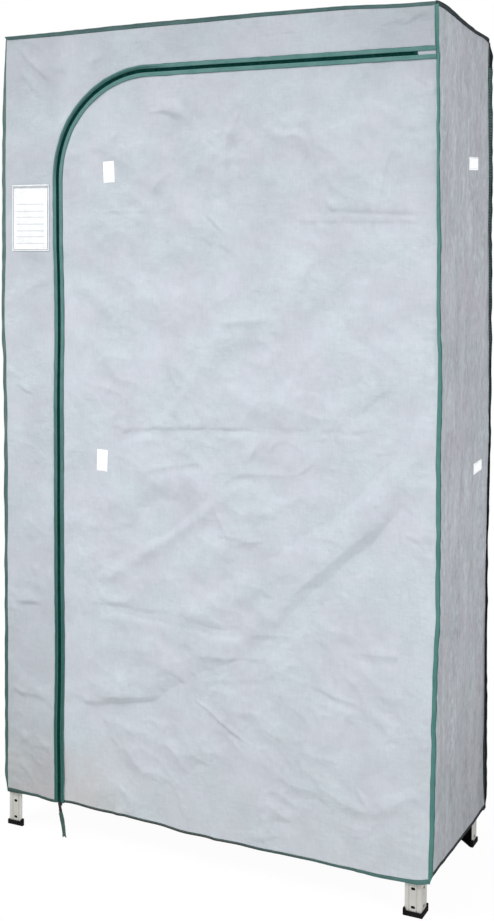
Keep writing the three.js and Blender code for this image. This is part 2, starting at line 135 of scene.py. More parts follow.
# ---------------------------------------------------------------- meshes
class Bag:
    """Collects surface pieces of one mesh; each point keeps where it is on the flat cloth."""
    def __init__(self):
        self.v, self.f, self.q, self.t, self.qm, self.tm = [], [], [], [], [], []
        self.n = 0

    def add(self, v, quads=None, tris=None, fab=None, m=0):
        v = np.asarray(v, float).reshape(-1, 3)
        base = self.n
        self.v.append(v)
        self.f.append(np.zeros((len(v), 3)) if fab is None else np.asarray(fab, float).reshape(-1, 3))
        if quads is not None and len(quads):
            q = np.asarray(quads, int) + base
            self.q.append(q)
            self.qm.append(np.full(len(q), m) if np.isscalar(m) else np.asarray(m))
        if tris is not None and len(tris):
            t = np.asarray(tris, int) + base
            self.t.append(t)
            self.tm.append(np.full(len(t), m))
        self.n += len(v)
        return base

    def obj(self, name, mats, sharp=50.0, smooth=True):
        V = np.concatenate(self.v).astype(np.float32)
        Q = np.concatenate(self.q) if self.q else np.zeros((0, 4), int)
        T = np.concatenate(self.t) if self.t else np.zeros((0, 3), int)
        M = np.concatenate([*self.qm, *self.tm]) if (self.qm or self.tm) else np.zeros(0, int)
        me = bpy.data.meshes.new(name)
        me.vertices.add(len(V))
        me.vertices.foreach_set("co", V.ravel())
        loops = np.concatenate([Q.ravel(), T.ravel()]).astype(np.int32)
        me.loops.add(len(loops))
        me.loops.foreach_set("vertex_index", loops)
        me.polygons.add(len(Q) + len(T))
        starts = np.concatenate([np.arange(len(Q)) * 4, len(Q) * 4 + np.arange(len(T)) * 3]).astype(np.int32)
        me.polygons.foreach_set("loop_start", starts)
        me.polygons.foreach_set("material_index", M.astype(np.int32))
        me.polygons.foreach_set("use_smooth", np.full(len(Q) + len(T), bool(smooth)))
        a = me.attributes.new("fab", 'FLOAT_VECTOR', 'POINT')
        a.data.foreach_set("vector", np.concatenate(self.f).astype(np.float32).ravel())
        me.update(calc_edges=True)
        me.validate()
        if smooth and sharp:
            me.set_sharp_from_angle(angle=math.radians(sharp))
        for mt in (mats if isinstance(mats, (list, tuple)) else [mats]):
            me.materials.append(mt)
        ob = bpy.data.objects.new(name, me)
        scene.collection.objects.link(ob)
        return ob


def gq(n, m, base=0, flip=False, closed=False):
    """Quads of an n by m grid of points, closed round its second index if asked."""
    i, j = np.meshgrid(np.arange(n - 1), np.arange(m if closed else m - 1), indexing='ij')
    i, j = i.ravel(), j.ravel()
    k = (j + 1) % m
    q = np.stack([i * m + j, i * m + k, (i + 1) * m + k, (i + 1) * m + j], -1) + base
    return q[:, ::-1] if flip else q


def grid_normals(P, ref):
    du = np.gradient(P, axis=0)
    dv = np.gradient(P, axis=1)
    N = unit(np.cross(du, dv))
    if (N * np.asarray(ref, float)).sum(-1).mean() < 0:
        return -N, True
    return N, False


def cloth_grid(bag, P, ref, t=0.0009, fab=None, m=0, m_back=None):
    """A closed thin sheet whose outer face is the grid P; ref points out of that face."""
    n, k = P.shape[:2]
    N, neg = grid_normals(P, ref)
    if fab is None:
        fab = np.stack([P[..., 0], P[..., 2], P[..., 1]], -1)
    B = P - N * t
    V = np.concatenate([P.reshape(-1, 3), B.reshape(-1, 3)])
    fb = np.concatenate([fab.reshape(-1, 3), fab.reshape(-1, 3)])
    # the quad order i,j -> i,j+1 -> i+1,j+1 turns against cross(du, dv)
    front = gq(n, k, 0, flip=not neg)
    back = gq(n, k, n * k, flip=neg)
    ring = np.concatenate([np.arange(k), np.arange(1, n) * k + k - 1, (n - 1) * k + np.arange(k - 2, -1, -1), np.arange(n - 2, 0, -1) * k])
    nxt = np.roll(ring, -1)
    rim = np.stack([ring, nxt, nxt + n * k, ring + n * k], -1)
    if neg:
        rim = rim[:, ::-1]
    bag.add(V, quads=np.concatenate([front, back, rim]), fab=fb,
            m=np.concatenate([np.full(len(front), m), np.full(len(back), m if m_back is None else m_back), np.full(len(rim), m)]))
    return N


def sweep(bag, path, A, B, section, fab_u0=0.0, m=0, scale=None, caps=True):
    """A closed section of points (a, b) swept along a path with side vectors A and B."""
    path, A, B = np.asarray(path, float), np.asarray(A, float), np.asarray(B, float)
    S = np.asarray(section, float)
    n, k = len(path), len(S)
    if S.ndim == 2:
        S = np.broadcast_to(S, (n, k, 2))
    else:
        k = S.shape[1]
    if scale is not None:
        S = S * np.asarray(scale).reshape(n, 1, 1)
    P = path[:, None] + S[..., :1] * A[:, None] + S[..., 1:2] * B[:, None]
    run = np.concatenate([[0], np.cumsum(np.linalg.norm(np.diff(path, axis=0), axis=1))]) + fab_u0
    seg = np.linalg.norm(np.diff(S[0], axis=0), axis=1)
    around = np.concatenate([[0], np.cumsum(seg)])
    fab = np.stack([np.broadcast_to(run[:, None], (n, k)), np.broadcast_to(around[None], (n, k)), S[..., 0]], -1)
    T = np.gradient(path, axis=0)
    area = 0.5 * np.sum(S[0][:, 0] * np.roll(S[0][:, 1], -1) - np.roll(S[0][:, 0], -1) * S[0][:, 1])
    hand = np.sum(np.cross(A, B) * T, axis=-1).mean() * area
    flip = hand < 0
    quads = gq(n, k, 0, flip=flip, closed=True)
    bag.add(P, quads=quads, fab=fab, m=m)
    if caps:
        for e, fl in ((0, flip), (n - 1, not flip)):
            c = P[e].mean(0)
            V = np.concatenate([P[e], c[None]])
            t = np.stack([np.arange(k), (np.arange(k) + 1) % k, np.full(k, k)], -1)
            f = np.concatenate([fab[e], fab[e].mean(0)[None]])
            bag.add(V, tris=t if fl else t[:, ::-1], fab=f, m=m)
    return P


def capsule(seg=6, rings=3):
    """A unit stitch along x: half length 1, radius 1 in y and z, flattened ends."""
    xs = np.array([-1.0, -0.82, -0.35, 0.35, 0.82, 1.0])
    rs = np.array([0.30, 0.75, 1.0, 1.0, 0.75, 0.30])
    a = np.arange(seg) * 2 * math.pi / seg
    V = np.stack([np.repeat(xs, seg), np.outer(rs, np.cos(a)).ravel(), np.outer(rs, np.sin(a)).ravel()], -1)
    q = gq(len(xs), seg, 0, flip=False, closed=True)
    tri = []
    for e, fl in ((0, False), (len(xs) - 1, True)):
        for i in range(1, seg - 1):
            t = [e * seg, e * seg + i, e * seg + i + 1]
            tri.append(t if fl else t[::-1])
    return V, q, np.array(tri)


CAPV, CAPQ, CAPT = capsule()


def place(bag, tmpl, C, X, Y, Z, size, m=0, fab=None):
    """Copies of a template at points C with axes X, Y, Z and half sizes (a, b, c)."""
    V, Q, T = tmpl
    n, k = len(C), len(V)
    if n == 0:
        return
    size = np.broadcast_to(np.asarray(size, float), (n, 3))
    P = C[:, None] + V[None, :, 0:1] * (X * size[:, 0:1])[:, None] + V[None, :, 1:2] * (Y * size[:, 1:2])[:, None] + V[None, :, 2:3] * (Z * size[:, 2:3])[:, None]
    off = (np.arange(n) * k)[:, None, None]
    f = np.broadcast_to(C[:, None], P.shape) if fab is None else np.broadcast_to(np.asarray(fab)[:, None], P.shape)
    hand = np.sum(np.cross(X, Y) * Z, axis=-1).mean()
    q = (Q[None] + off).reshape(-1, Q.shape[1])
    t = (T[None] + off).reshape(-1, 3) if len(T) else None
    if hand < 0:
        q = q[:, ::-1]
        t = None if t is None else t[:, ::-1]
    base = bag.add(P.reshape(-1, 3), quads=q, fab=f.reshape(-1, 3), m=m)
    if t is not None:
        bag.t.append(t + base)
        bag.tm.append(np.full(len(t), m))


def resample(path, step):
    path = np.asarray(path, float)
    s = np.concatenate([[0], np.cumsum(np.linalg.norm(np.diff(path, axis=0), axis=1))])
    n = max(2, int(round(s[-1] / step)) + 1)
    q = np.linspace(0, s[-1], n)
    return np.stack([np.interp(q, s, path[:, i]) for i in range(path.shape[1])], -1)


def at_step(P, vals, step, start=0.0):
    """Points and carried vectors every step along a path."""
    s = np.concatenate([[0], np.cumsum(np.linalg.norm(np.diff(P, axis=0), axis=1))])
    q = np.arange(start, s[-1] - start * 0.5, step)
    f = lambda a: np.stack([np.interp(q, s, a[:, i]) for i in range(a.shape[1])], -1)
    return f(P), [f(v) for v in vals], q


def tape_section(w, t, n=5, edge=0.35):
    """A flat tape with soft round edges: a runs across from 0 to w, b is its thickness."""
    top = [(w * (i / (n - 1)), t / 2) for i in range(n)]
    pts = []
    r = t / 2
    for k in range(5):
        a = math.pi / 2 - math.pi * k / 4
        pts.append((w - r + r * math.cos(a), r * math.sin(a)))
    for i in range(1, n - 1):
        pts.append((w - r - (w - 2 * r) * i / (n - 1), -r))
    for k in range(5):
        a = -math.pi / 2 - math.pi * k / 4
        pts.append((r + r * math.cos(a), r * math.sin(a)))
    for i in range(1, n - 1):
        pts.append((r + (w - 2 * r) * i / (n - 1), r))
    return np.array(pts)

# ---------------------------------------------------------------- materials
def new_mat(name, rough=0.6, metal=0.0, spec=None):
    mt = bpy.data.materials.new(name)
    mt.use_nodes = True
    b = mt.node_tree.nodes["Principled BSDF"]
    b.inputs["Roughness"].default_value = rough
    b.inputs["Metallic"].default_value = metal
    if spec is not None:
        b.inputs["Specular IOR Level"].default_value = spec
    return mt, mt.node_tree, b


def nd(nt, kind, **kw):
    n = nt.nodes.new(kind)
    for k, v in kw.items():
        setattr(n, k, v)
    return n


def lk(nt, a, b):
    nt.links.new(a, b)


def lin(r, g, b):
    f = lambda c: (c / 255) / 12.92 if c / 255 <= 0.04045 else ((c / 255 + 0.055) / 1.055) ** 2.4
    return (f(r), f(g), f(b), 1.0)


def fabco(nt):
    return nd(nt, "ShaderNodeAttribute", attribute_name="fab").outputs["Vector"]


def objco(nt):
    return nd(nt, "ShaderNodeTexCoord").outputs["Object"]


def noise(nt, co, scale, detail=2.0, rough=0.5, stretch=None):
    n = nd(nt, "ShaderNodeTexNoise")
    n.inputs["Scale"].default_value = scale
    n.inputs["Detail"].default_value = detail
    n.inputs["Roughness"].default_value = rough
    if stretch is not None:
        mp = nd(nt, "ShaderNodeMapping")
        mp.inputs["Scale"].default_value = stretch
        lk(nt, co, mp.inputs["Vector"])
        lk(nt, mp.outputs["Vector"], n.inputs["Vector"])
    else:
        lk(nt, co, n.inputs["Vector"])
    return n.outputs["Fac"]


def ramp(nt, fac, stops):
    r = nd(nt, "ShaderNodeValToRGB")
    e = r.color_ramp.elements
    while len(e) < len(stops):
        e.new(0.5)
    for el, (p, c) in zip(e, stops):
        el.position = p
        el.color = c
    lk(nt, fac, r.inputs["Fac"])
    return r.outputs["Color"]


def maprange(nt, val, a, b, c=0.0, d=1.0):
    """Smooth step of val from a to b, given out from c to d."""
    n = nd(nt, "ShaderNodeMapRange", interpolation_type='SMOOTHSTEP')
    lk(nt, val, n.inputs["Value"])
    n.inputs["From Min"].default_value = a
    n.inputs["From Max"].default_value = b
    n.inputs["To Min"].default_value = c
    n.inputs["To Max"].default_value = d
    return n.outputs["Result"]


def grey(v):
    return (v, v, v, 1.0)


def mix(nt, kind, fac, a, b):
    """Mixes two colours; fac is a number or a socket."""
    n = nd(nt, "ShaderNodeMix", data_type='RGBA', blend_type=kind)
    if hasattr(fac, "is_linked") or hasattr(fac, "links"):
        lk(nt, fac, n.inputs["Factor"])
    else:
        n.inputs["Factor"].default_value = fac
    lk(nt, a, n.inputs[6])
    lk(nt, b, n.inputs[7])
    return n.outputs[2]


def maths(nt, op, a, b=None, c=None):
    n = nd(nt, "ShaderNodeMath", operation=op)
    for i, x in enumerate((a, b, c)):
        if x is None:
            continue
        if isinstance(x, (int, float)):
            n.inputs[i].default_value = x
        else:
            lk(nt, x, n.inputs[i])
    return n.outputs[0]


def sep(nt, co):
    s = nd(nt, "ShaderNodeSeparateXYZ")
    lk(nt, co, s.inputs[0])
    return s.outputs["X"], s.outputs["Y"], s.outputs["Z"]


def bump(nt, height, strength, distance, normal=None):
    b = nd(nt, "ShaderNodeBump")
    b.inputs["Strength"].default_value = strength
    b.inputs["Distance"].default_value = distance
    lk(nt, height, b.inputs["Height"])
    if normal is not None:
        lk(nt, normal, b.inputs["Normal"])
    return b.outputs["Normal"]


def weave(nt, co, pitch):
    """Plain weave: two threads that cross, from where the point is on the flat cloth."""
    x, y, _ = sep(nt, co)
    k = 2 * math.pi / pitch
    sx = maths(nt, 'SINE', maths(nt, 'MULTIPLY', x, k))
    sy = maths(nt, 'SINE', maths(nt, 'MULTIPLY', y, k))
    return maths(nt, 'MULTIPLY_ADD', maths(nt, 'MULTIPLY', sx, sy), 0.5, 0.5)


def ridged(nt, co, scale, detail, patch):
    """Sharp creases between rounded pillows, stronger in some places than in others."""
    v = maths(nt, 'ABSOLUTE', maths(nt, 'MULTIPLY_ADD', noise(nt, co, scale, detail, 0.55), 2.0, -1.0))
    return maths(nt, 'MULTIPLY', v, ramp(nt, noise(nt, co, patch, 2.0, 0.5), [(0.38, grey(0.12)), (0.62, grey(1.0))]))


def mat_cover(name, tint_a, tint_b, streak=0.0, low_dark=0.0, seed=0.0, shade_and_stain=False, thread=1.0, crumple=1.0):
    """Light grey woven cloth with faint lavender and blue-green clouds, uneven threads, slubs and rub marks."""
    mt, nt, b = new_mat(name, 0.82, spec=0.22)
    b.inputs["Sheen Weight"].default_value = 0.10
    b.inputs["Sheen Roughness"].default_value = 0.5
    co = fabco(nt)
    mp = nd(nt, "ShaderNodeMapping")
    mp.inputs["Location"].default_value = (seed, seed * 1.7, seed * 0.6)
    lk(nt, co, mp.inputs["Vector"])
    c2 = mp.outputs["Vector"]
    cloud = noise(nt, c2, 7.0, 4.0, 0.60)
    col = ramp(nt, cloud, [(0.38, tint_a), (0.62, tint_b)])
    soft = ramp(nt, noise(nt, c2, 11.0, 6.0, 0.70), [(0.34, grey(0.876)), (0.66, grey(1.0))])
    col = mix(nt, 'MULTIPLY', 1.0, col, soft)
    warp = ramp(nt, noise(nt, c2, 430.0, 3.0, 0.65, stretch=(1.0, 0.060, 1.0)), [(0.32, grey(1 - 0.062 * thread)), (0.68, grey(1.0))])
    col = mix(nt, 'MULTIPLY', 1.0, col, warp)
    weft = ramp(nt, noise(nt, c2, 430.0, 3.0, 0.65, stretch=(0.060, 1.0, 1.0)), [(0.32, grey(1 - 0.045 * thread)), (0.68, grey(1.0))])
    col = mix(nt, 'MULTIPLY', 1.0, col, weft)
    slub = ramp(nt, noise(nt, c2, 520.0, 2.0, 0.6), [(0.30, grey(0.955)), (0.70, grey(1.0))])
    col = mix(nt, 'MULTIPLY', 1.0, col, slub)
    if streak:
        # streaks: long thin darker bands in the colour, partly uneven yarn and partly painted shade standing in for the
        # shading of the side's small crumples
        s = ramp(nt, noise(nt, c2, 210.0, 3.5, 0.66, stretch=(1.0, 0.30, 1.0)), [(0.30, grey(1.0 - streak)), (0.70, grey(1.0))])
        col = mix(nt, 'MULTIPLY', 1.0, col, s)
        s = ramp(nt, noise(nt, c2, 40.0, 4.5, 0.66, stretch=(1.0, 0.14, 1.0)), [(0.32, (1.0 - streak * 0.60, 1.0 - streak * 0.68, 1.0 - streak * 0.62, 1.0)), (0.68, grey(1.0))])
        col = mix(nt, 'MULTIPLY', 1.0, col, s)
    if low_dark:
        _, v, _ = sep(nt, co)
        wob = maths(nt, 'MULTIPLY_ADD', noise(nt, c2, 9.0, 3.0, 0.6), 0.16, v)
        s = ramp(nt, maths(nt, 'MULTIPLY', wob, 1.0), [(0.08, (1 - low_dark, (1 - low_dark) * 0.995, (1 - low_dark) * 0.975, 1)), (0.80, grey(1.0))])
        col = mix(nt, 'MULTIPLY', 1.0, col, s)
    if shade_and_stain:
        # darker beside the zip's straight run, more so towards the foot of that strip; painted shade high up and along
        # the top, most at the top right
        u, v, _ = sep(nt, co)
        wv = maths(nt, 'MULTIPLY_ADD', noise(nt, c2, 6.0, 4.0, 0.6), 0.12, v)
        wu = maths(nt, 'MULTIPLY_ADD', noise(nt, c2, 8.0, 4.0, 0.6), 0.010, u)
        strip_ = maprange(nt, wu, -0.335, -0.375)
        low_ = maprange(nt, wv, 0.95, 0.20)
        top_ = maprange(nt, wv, 1.64, 1.86)
        right_ = maprange(nt, u, 0.26, 0.50)
        f = maths(nt, 'MULTIPLY_ADD', strip_, -0.050, 1.0)
        f = maths(nt, 'MULTIPLY_ADD', maths(nt, 'MULTIPLY', strip_, low_), -0.13, f)
        f = maths(nt, 'MULTIPLY_ADD', maprange(nt, wv, 1.15, 1.68), -0.085, f)
        f = maths(nt, 'MULTIPLY_ADD', top_, -0.11, f)
        f = maths(nt, 'MULTIPLY_ADD', maths(nt, 'MULTIPLY', top_, right_), -0.12, f)
        col = mix(nt, 'MULTIPLY', 1.0, col, f)
        # a warm stain low down beside the zip
        st = maths(nt, 'MULTIPLY', maprange(nt, maths(nt, 'MULTIPLY_ADD', noise(nt, c2, 14.0, 5.0, 0.65), 0.30, v), 0.42, 0.22), maprange(nt, maths(nt, 'MULTIPLY_ADD', noise(nt, c2, 11.0, 5.0, 0.65), 0.22, u), -0.02, -0.18))
        n = nd(nt, "ShaderNodeMix", data_type='RGBA', blend_type='MULTIPLY')
        n.inputs[7].default_value = (0.960, 0.905, 0.862, 1.0)
        lk(nt, st, n.inputs["Factor"])
        lk(nt, col, n.inputs[6])
        col = n.outputs[2]
    lk(nt, col, b.inputs["Base Color"])
    rg = ramp(nt, noise(nt, c2, 60.0, 3.0, 0.6), [(0.3, grey(0.74)), (0.7, grey(0.88))])
    lk(nt, rg, b.inputs["Roughness"])
    # fine crumples: small sharp folds, in patches
    n0 = bump(nt, ridged(nt, c2, 12.0, 3.5, 4.0), 1.0, 0.0036 * crumple)
    n0 = bump(nt, ridged(nt, c2, 30.0, 4.0, 7.0), 1.0, 0.0019 * crumple, n0)
    n1 = bump(nt, weave(nt, co, 0.0009), 0.30, 0.00012, n0)
    n2 = bump(nt, noise(nt, c2, 700.0, 2.0, 0.6, stretch=(1.0, 0.3, 1.0)), 0.25, 0.0002, n1)
    lk(nt, n2, b.inputs["Normal"])
    return mt


def mat_tape(name, base, edge, worn, seed=0.0, rib=0.0011, fade=None, turn=None):
    """Folded binding tape: a fine rib across it, a darker stitched edge, fading and rub marks.
    fade = (run where it starts, run where it ends, colour factor before it)."""
    mt, nt, b = new_mat(name, 0.7, spec=0.25)
    co = fabco(nt)
    u, v, w = sep(nt, co)
    cl = ramp(nt, noise(nt, co, 16.0 + seed, 5.0, 0.66), [(0.32, base), (0.68, worn)])
    fine = ramp(nt, noise(nt, co, 520.0, 2.0, 0.6), [(0.28, grey(0.84)), (0.72, grey(1.0))])
    col = mix(nt, 'MULTIPLY', 1.0, cl, fine)
    if fade:
        fw = maths(nt, 'MULTIPLY_ADD', noise(nt, co, 7.0 + seed, 3.0, 0.6), 0.5, maths(nt, 'MULTIPLY_ADD', u, 1.0 / (fade[1] - fade[0]), -fade[0] / (fade[1] - fade[0]) - 0.25))
        col = mix(nt, 'MULTIPLY', 1.0, col, ramp(nt, fw, [(0.0, tuple(fade[2]) + (1.0,)), (1.0, grey(1.0))]))
    if turn:
        # painted shade: round the turn the tape stands on edge towards the chain, and that part is darkened in its
        # colour
        t_ = maths(nt, 'MULTIPLY', maprange(nt, u, turn[0], turn[1]), maprange(nt, u, turn[3], turn[2]))
        t_ = maths(nt, 'MULTIPLY', t_, maprange(nt, maths(nt, 'MULTIPLY_ADD', noise(nt, co, 60.0, 3.0, 0.6), 0.002, w), 0.0095, 0.0035))
        n = nd(nt, "ShaderNodeMix", data_type='RGBA', blend_type='MULTIPLY')
        n.inputs[7].default_value = (0.20, 0.34, 0.35, 1.0)
        lk(nt, t_, n.inputs["Factor"])
        lk(nt, col, n.inputs[6])
        col = n.outputs[2]
    ew = maths(nt, 'MULTIPLY_ADD', noise(nt, co, 90.0, 2.0, 0.5), 0.0016, w)
    er = ramp(nt, maths(nt, 'MULTIPLY', ew, 60.0), [(0.50, grey(0.0)), (0.60, grey(1.0))])
    dark = ramp(nt, noise(nt, co, 160.0, 2.0, 0.6), [(0.3, edge), (0.7, tuple(c * 1.18 for c in edge[:3]) + (1.0,))])
    n = nd(nt, "ShaderNodeMix", data_type='RGBA', blend_type='MIX')
    lk(nt, er, n.inputs["Factor"])
    lk(nt, col, n.inputs[6])
    lk(nt, dark, n.inputs[7])
    lk(nt, n.outputs[2], b.inputs["Base Color"])
    rg = ramp(nt, noise(nt, co, 75.0, 3.0, 0.6), [(0.3, grey(0.62)), (0.7, grey(0.82))])
    lk(nt, rg, b.inputs["Roughness"])
    ribs = maths(nt, 'SINE', maths(nt, 'MULTIPLY', u, 2 * math.pi / rib))
    n1 = bump(nt, ribs, 0.35, 0.00015)
    n2 = bump(nt, noise(nt, co, 900.0, 2.0, 0.6), 0.25, 0.0002, n1)
    lk(nt, n2, b.inputs["Normal"])
    return mt


def mat_simple(name, a, b_, scale, rough, metal=0.0, spec=None, bump_d=0.0001, bump_s=0.3, bump_scale=None, coat=0.0, obj=True, detail=4.0):
    """A finish that varies between two close colours, with a fine surface grain."""
    mt, nt, b = new_mat(name, rough[0], metal, spec)
    co = objco(nt) if obj else fabco(nt)
    lk(nt, ramp(nt, noise(nt, co, scale, detail, 0.6), [(0.32, a), (0.68, b_)]), b.inputs["Base Color"])
    lk(nt, ramp(nt, noise(nt, co, scale * 2.3, detail, 0.65), [(0.3, grey(rough[0])), (0.7, grey(rough[1]))]), b.inputs["Roughness"])
    lk(nt, bump(nt, noise(nt, co, bump_scale or scale * 9, 3.0, 0.6), bump_s, bump_d), b.inputs["Normal"])
    if coat:
        b.inputs["Coat Weight"].default_value = coat
        b.inputs["Coat Roughness"].default_value = 0.25
    return mt


M = {}
# the front's colour carries painted shade high up and along the top, with darkening beside the zip's strip and a stain
# low down
M["front"] = mat_cover("cloth_front", (0.541, 0.564, 0.620, 1), (0.527, 0.583, 0.625, 1), low_dark=0.06, shade_and_stain=True)
M["side"] = mat_cover("cloth_side", (0.554, 0.568, 0.622, 1), (0.530, 0.582, 0.614, 1), streak=0.33, low_dark=0.14, seed=3.1, crumple=0.55)
M["plain"] = mat_cover("cloth_plain", (0.585, 0.606, 0.652, 1), (0.570, 0.616, 0.650, 1), streak=0.055, seed=8.4)
M["lining"] = mat_cover("cloth_inside", (0.59, 0.62, 0.66, 1), (0.57, 0.62, 0.65, 1), seed=5.3)
M["tape"] = mat_tape("tape_green", (0.058, 0.182, 0.168, 1), (0.034, 0.100, 0.094, 1), (0.112, 0.240, 0.228, 1), fade=(0.25, 1.25, (0.74, 0.86, 0.83)))
# painted shade: a darker copy of the green binding tape, used on the back-left binding and the left and back hems
M["tape_shaded_dark"] = mat_tape("tape_shaded_dark", (0.012, 0.045, 0.043, 1), (0.010, 0.025, 0.026, 1), (0.026, 0.072, 0.066, 1), 5.0)
M["tape_zip"] = mat_tape("tape_zip", (0.074, 0.184, 0.174, 1), (0.036, 0.090, 0.085, 1), (0.114, 0.230, 0.220, 1), 9.0, rib=0.0009, fade=(0.40, 1.05, (0.20, 0.44, 0.40)))
M["tape_zip_fixed"] = mat_tape("tape_zip_fixed", (0.066, 0.172, 0.162, 1), (0.036, 0.090, 0.085, 1), (0.104, 0.216, 0.206, 1), 9.0, rib=0.0009, fade=(0.40, 1.05, (0.20, 0.44, 0.40)), turn=(1.36, 1.46, 1.74, 1.86))
M["tape_top"] = mat_tape("tape_top", (0.052, 0.104, 0.103, 1), (0.018, 0.038, 0.038, 1), (0.098, 0.164, 0.162, 1), 3.0)
M["tape_left"] = mat_tape("tape_left", (0.056, 0.118, 0.108, 1), (0.020, 0.045, 0.042, 1), (0.120, 0.178, 0.166, 1), 6.0, fade=(0.30, 0.95, (0.44, 0.66, 0.62)))
M["tape_hem"] = mat_tape("tape_hem", (0.024, 0.048, 0.043, 1), (0.010, 0.022, 0.020, 1), (0.046, 0.082, 0.076, 1), 2.0)
M["tape_hem_door"] = mat_tape("tape_hem_door", (0.046, 0.120, 0.112, 1), (0.018, 0.050, 0.047, 1), (0.085, 0.175, 0.165, 1), 4.0, fade=(0.45, 0.85, (0.62, 0.30, 0.31)))
# painted shade: a near-black copy of the binding tape for the right side's hem
M["tape_shaded_black"] = mat_tape("tape_shaded_black", (0.003, 0.007, 0.007, 1), (0.002, 0.004, 0.004, 1), (0.008, 0.018, 0.017, 1), 7.0)
M["thread"] = mat_simple("thread_green", (0.050, 0.200, 0.160, 1), (0.10, 0.30, 0.245, 1), 90.0, (0.5, 0.7), bump_d=0.0001, bump_scale=2500)
M["thread_light"] = mat_simple("thread_light", (0.16, 0.33, 0.29, 1), (0.23, 0.42, 0.38, 1), 90.0, (0.5, 0.7), bump_d=0.0001, bump_scale=2500)
# painted shade: a near-black copy of the binding tape for the top edge's runs round the sides and back, whose
# undersides are seen in shadow; painted light makes it lighter for its first few centimetres at the front-right corner
M["tape_ring_shaded"] = mat_tape("tape_ring_shaded", (0.012, 0.020, 0.0215, 1), (0.004, 0.0065, 0.0075, 1), (0.026, 0.038, 0.041, 1), 5.0, fade=(-0.02, 0.03, (1.6, 2.2, 2.0)))
# painted shade: a near-black copy of the binding tape for the back-right binding, which faces away from the light
M["tape_br"] = mat_tape("tape_back_right_shaded", (0.0055, 0.0105, 0.011, 1), (0.002, 0.0036, 0.0040, 1), (0.014, 0.023, 0.024, 1), 8.0)
# painted shade: a dark copy of the green thread for the shaded bindings round the top and the right hem
M["thread_shaded_dark"] = mat_simple("thread_shaded_dark", (0.010, 0.030, 0.028, 1), (0.022, 0.050, 0.046, 1), 90.0, (0.5, 0.7), bump_d=0.0001, bump_scale=2500)
M["thread_grey"] = mat_simple("thread_grey", (0.40, 0.44, 0.48, 1), (0.55, 0.60, 0.64, 1), 90.0, (0.55, 0.75), bump_d=0.0001, bump_scale=2500)
M["coil"] = mat_simple("zip_coil", (0.0006, 0.024, 0.020, 1), (0.0045, 0.052, 0.044, 1), 130.0, (0.72, 0.88), spec=0.04, bump_scale=1500)
M["enamel"] = mat_simple("black_enamel", (0.006, 0.006, 0.007, 1), (0.020, 0.020, 0.021, 1), 70.0, (0.46, 0.60), spec=0.28, bump_scale=600, bump_d=0.00006)
M["ribbon"] = mat_tape("ribbon_green", (0.020, 0.062, 0.052, 1), (0.010, 0.034, 0.030, 1), (0.074, 0.112, 0.098, 1), 13.0, rib=0.0008)
M["steel"] = mat_simple("painted_steel", (0.425, 0.418, 0.388, 1), (0.505, 0.498, 0.468, 1), 18.0, (0.36, 0.52), metal=0.15, bump_scale=900, bump_d=0.00005, bump_s=0.2, coat=0.15)
M["zinc"] = mat_simple("zinc_plate", (0.42, 0.43, 0.44, 1), (0.60, 0.61, 0.62, 1), 120.0, (0.26, 0.42), metal=0.95, bump_scale=700, bump_d=0.00004)
M["chrome"] = mat_simple("chrome_tube", (0.56, 0.57, 0.58, 1), (0.66, 0.67, 0.68, 1), 14.0, (0.08, 0.17), metal=1.0, bump_scale=300, bump_d=0.00002, bump_s=0.1)
M["black"] = mat_simple("black_plastic", (0.0015, 0.0015, 0.0018, 1), (0.006, 0.006, 0.0065, 1), 55.0, (0.62, 0.80), spec=0.10, bump_scale=1400, bump_d=0.00008)
M["loop"] = mat_simple("loop_tape", (0.90, 0.90, 0.91, 1), (0.96, 0.96, 0.97, 1), 260.0, (0.8, 0.95), spec=0.2, bump_scale=2600, bump_d=0.0005, bump_s=0.7)


def mat_film():
    """Clear vinyl film: mostly see-through, with a soft sheen, slight haze and handling marks."""
    mt = bpy.data.materials.new("clear_film")
    mt.use_nodes = True
    nt = mt.node_tree
    nt.nodes.clear()
    out = nd(nt, "ShaderNodeOutputMaterial")
    tr = nd(nt, "ShaderNodeBsdfTransparent")
    gl = nd(nt, "ShaderNodeBsdfPrincipled")
    gl.inputs["IOR"].default_value = 1.5
    co = fabco(nt)
    lk(nt, ramp(nt, noise(nt, co, 30.0, 4.0, 0.6), [(0.3, (0.80, 0.83, 0.85, 1)), (0.7, (0.88, 0.90, 0.91, 1))]), gl.inputs["Base Color"])
    lk(nt, ramp(nt, noise(nt, co, 45.0, 4.0, 0.7), [(0.3, grey(0.10)), (0.7, grey(0.26))]), gl.inputs["Roughness"])
    lk(nt, bump(nt, noise(nt, co, 26.0, 3.0, 0.5), 0.35, 0.0012), gl.inputs["Normal"])
    ms = nd(nt, "ShaderNodeMixShader")
    lk(nt, ramp(nt, noise(nt, co, 38.0, 3.0, 0.6), [(0.3, grey(0.13)), (0.7, grey(0.24))]), ms.inputs["Fac"])
    lk(nt, tr.outputs[0], ms.inputs[1])
    lk(nt, gl.outputs[0], ms.inputs[2])
    lk(nt, ms.outputs[0], out.inputs["Surface"])
    return mt


def mat_card():
    """White card with faint mottling."""
    return mat_simple("white_card", (0.80, 0.80, 0.80, 1), (0.88, 0.88, 0.875, 1), 60.0, (0.5, 0.65), spec=0.3, bump_scale=1200, bump_d=0.00004, obj=False)


M["film"] = mat_film()
M["card"] = mat_card()
M["rule"] = mat_simple("grey_rule", (0.40, 0.41, 0.43, 1), (0.50, 0.51, 0.53, 1), 400.0, (0.5, 0.65), spec=0.3, bump_scale=1200, bump_d=0.00004, obj=False)

# ---------------------------------------------------------------- pull ribbon
RIB_Y = -0.2090
RIB = [(-0.3488, 0.0577), (-0.3464, 0.0500), (-0.3440, 0.0400), (-0.3420, 0.0300), (-0.3404, 0.0200), (-0.3392, 0.0110), (-0.3382, 0.0016)]


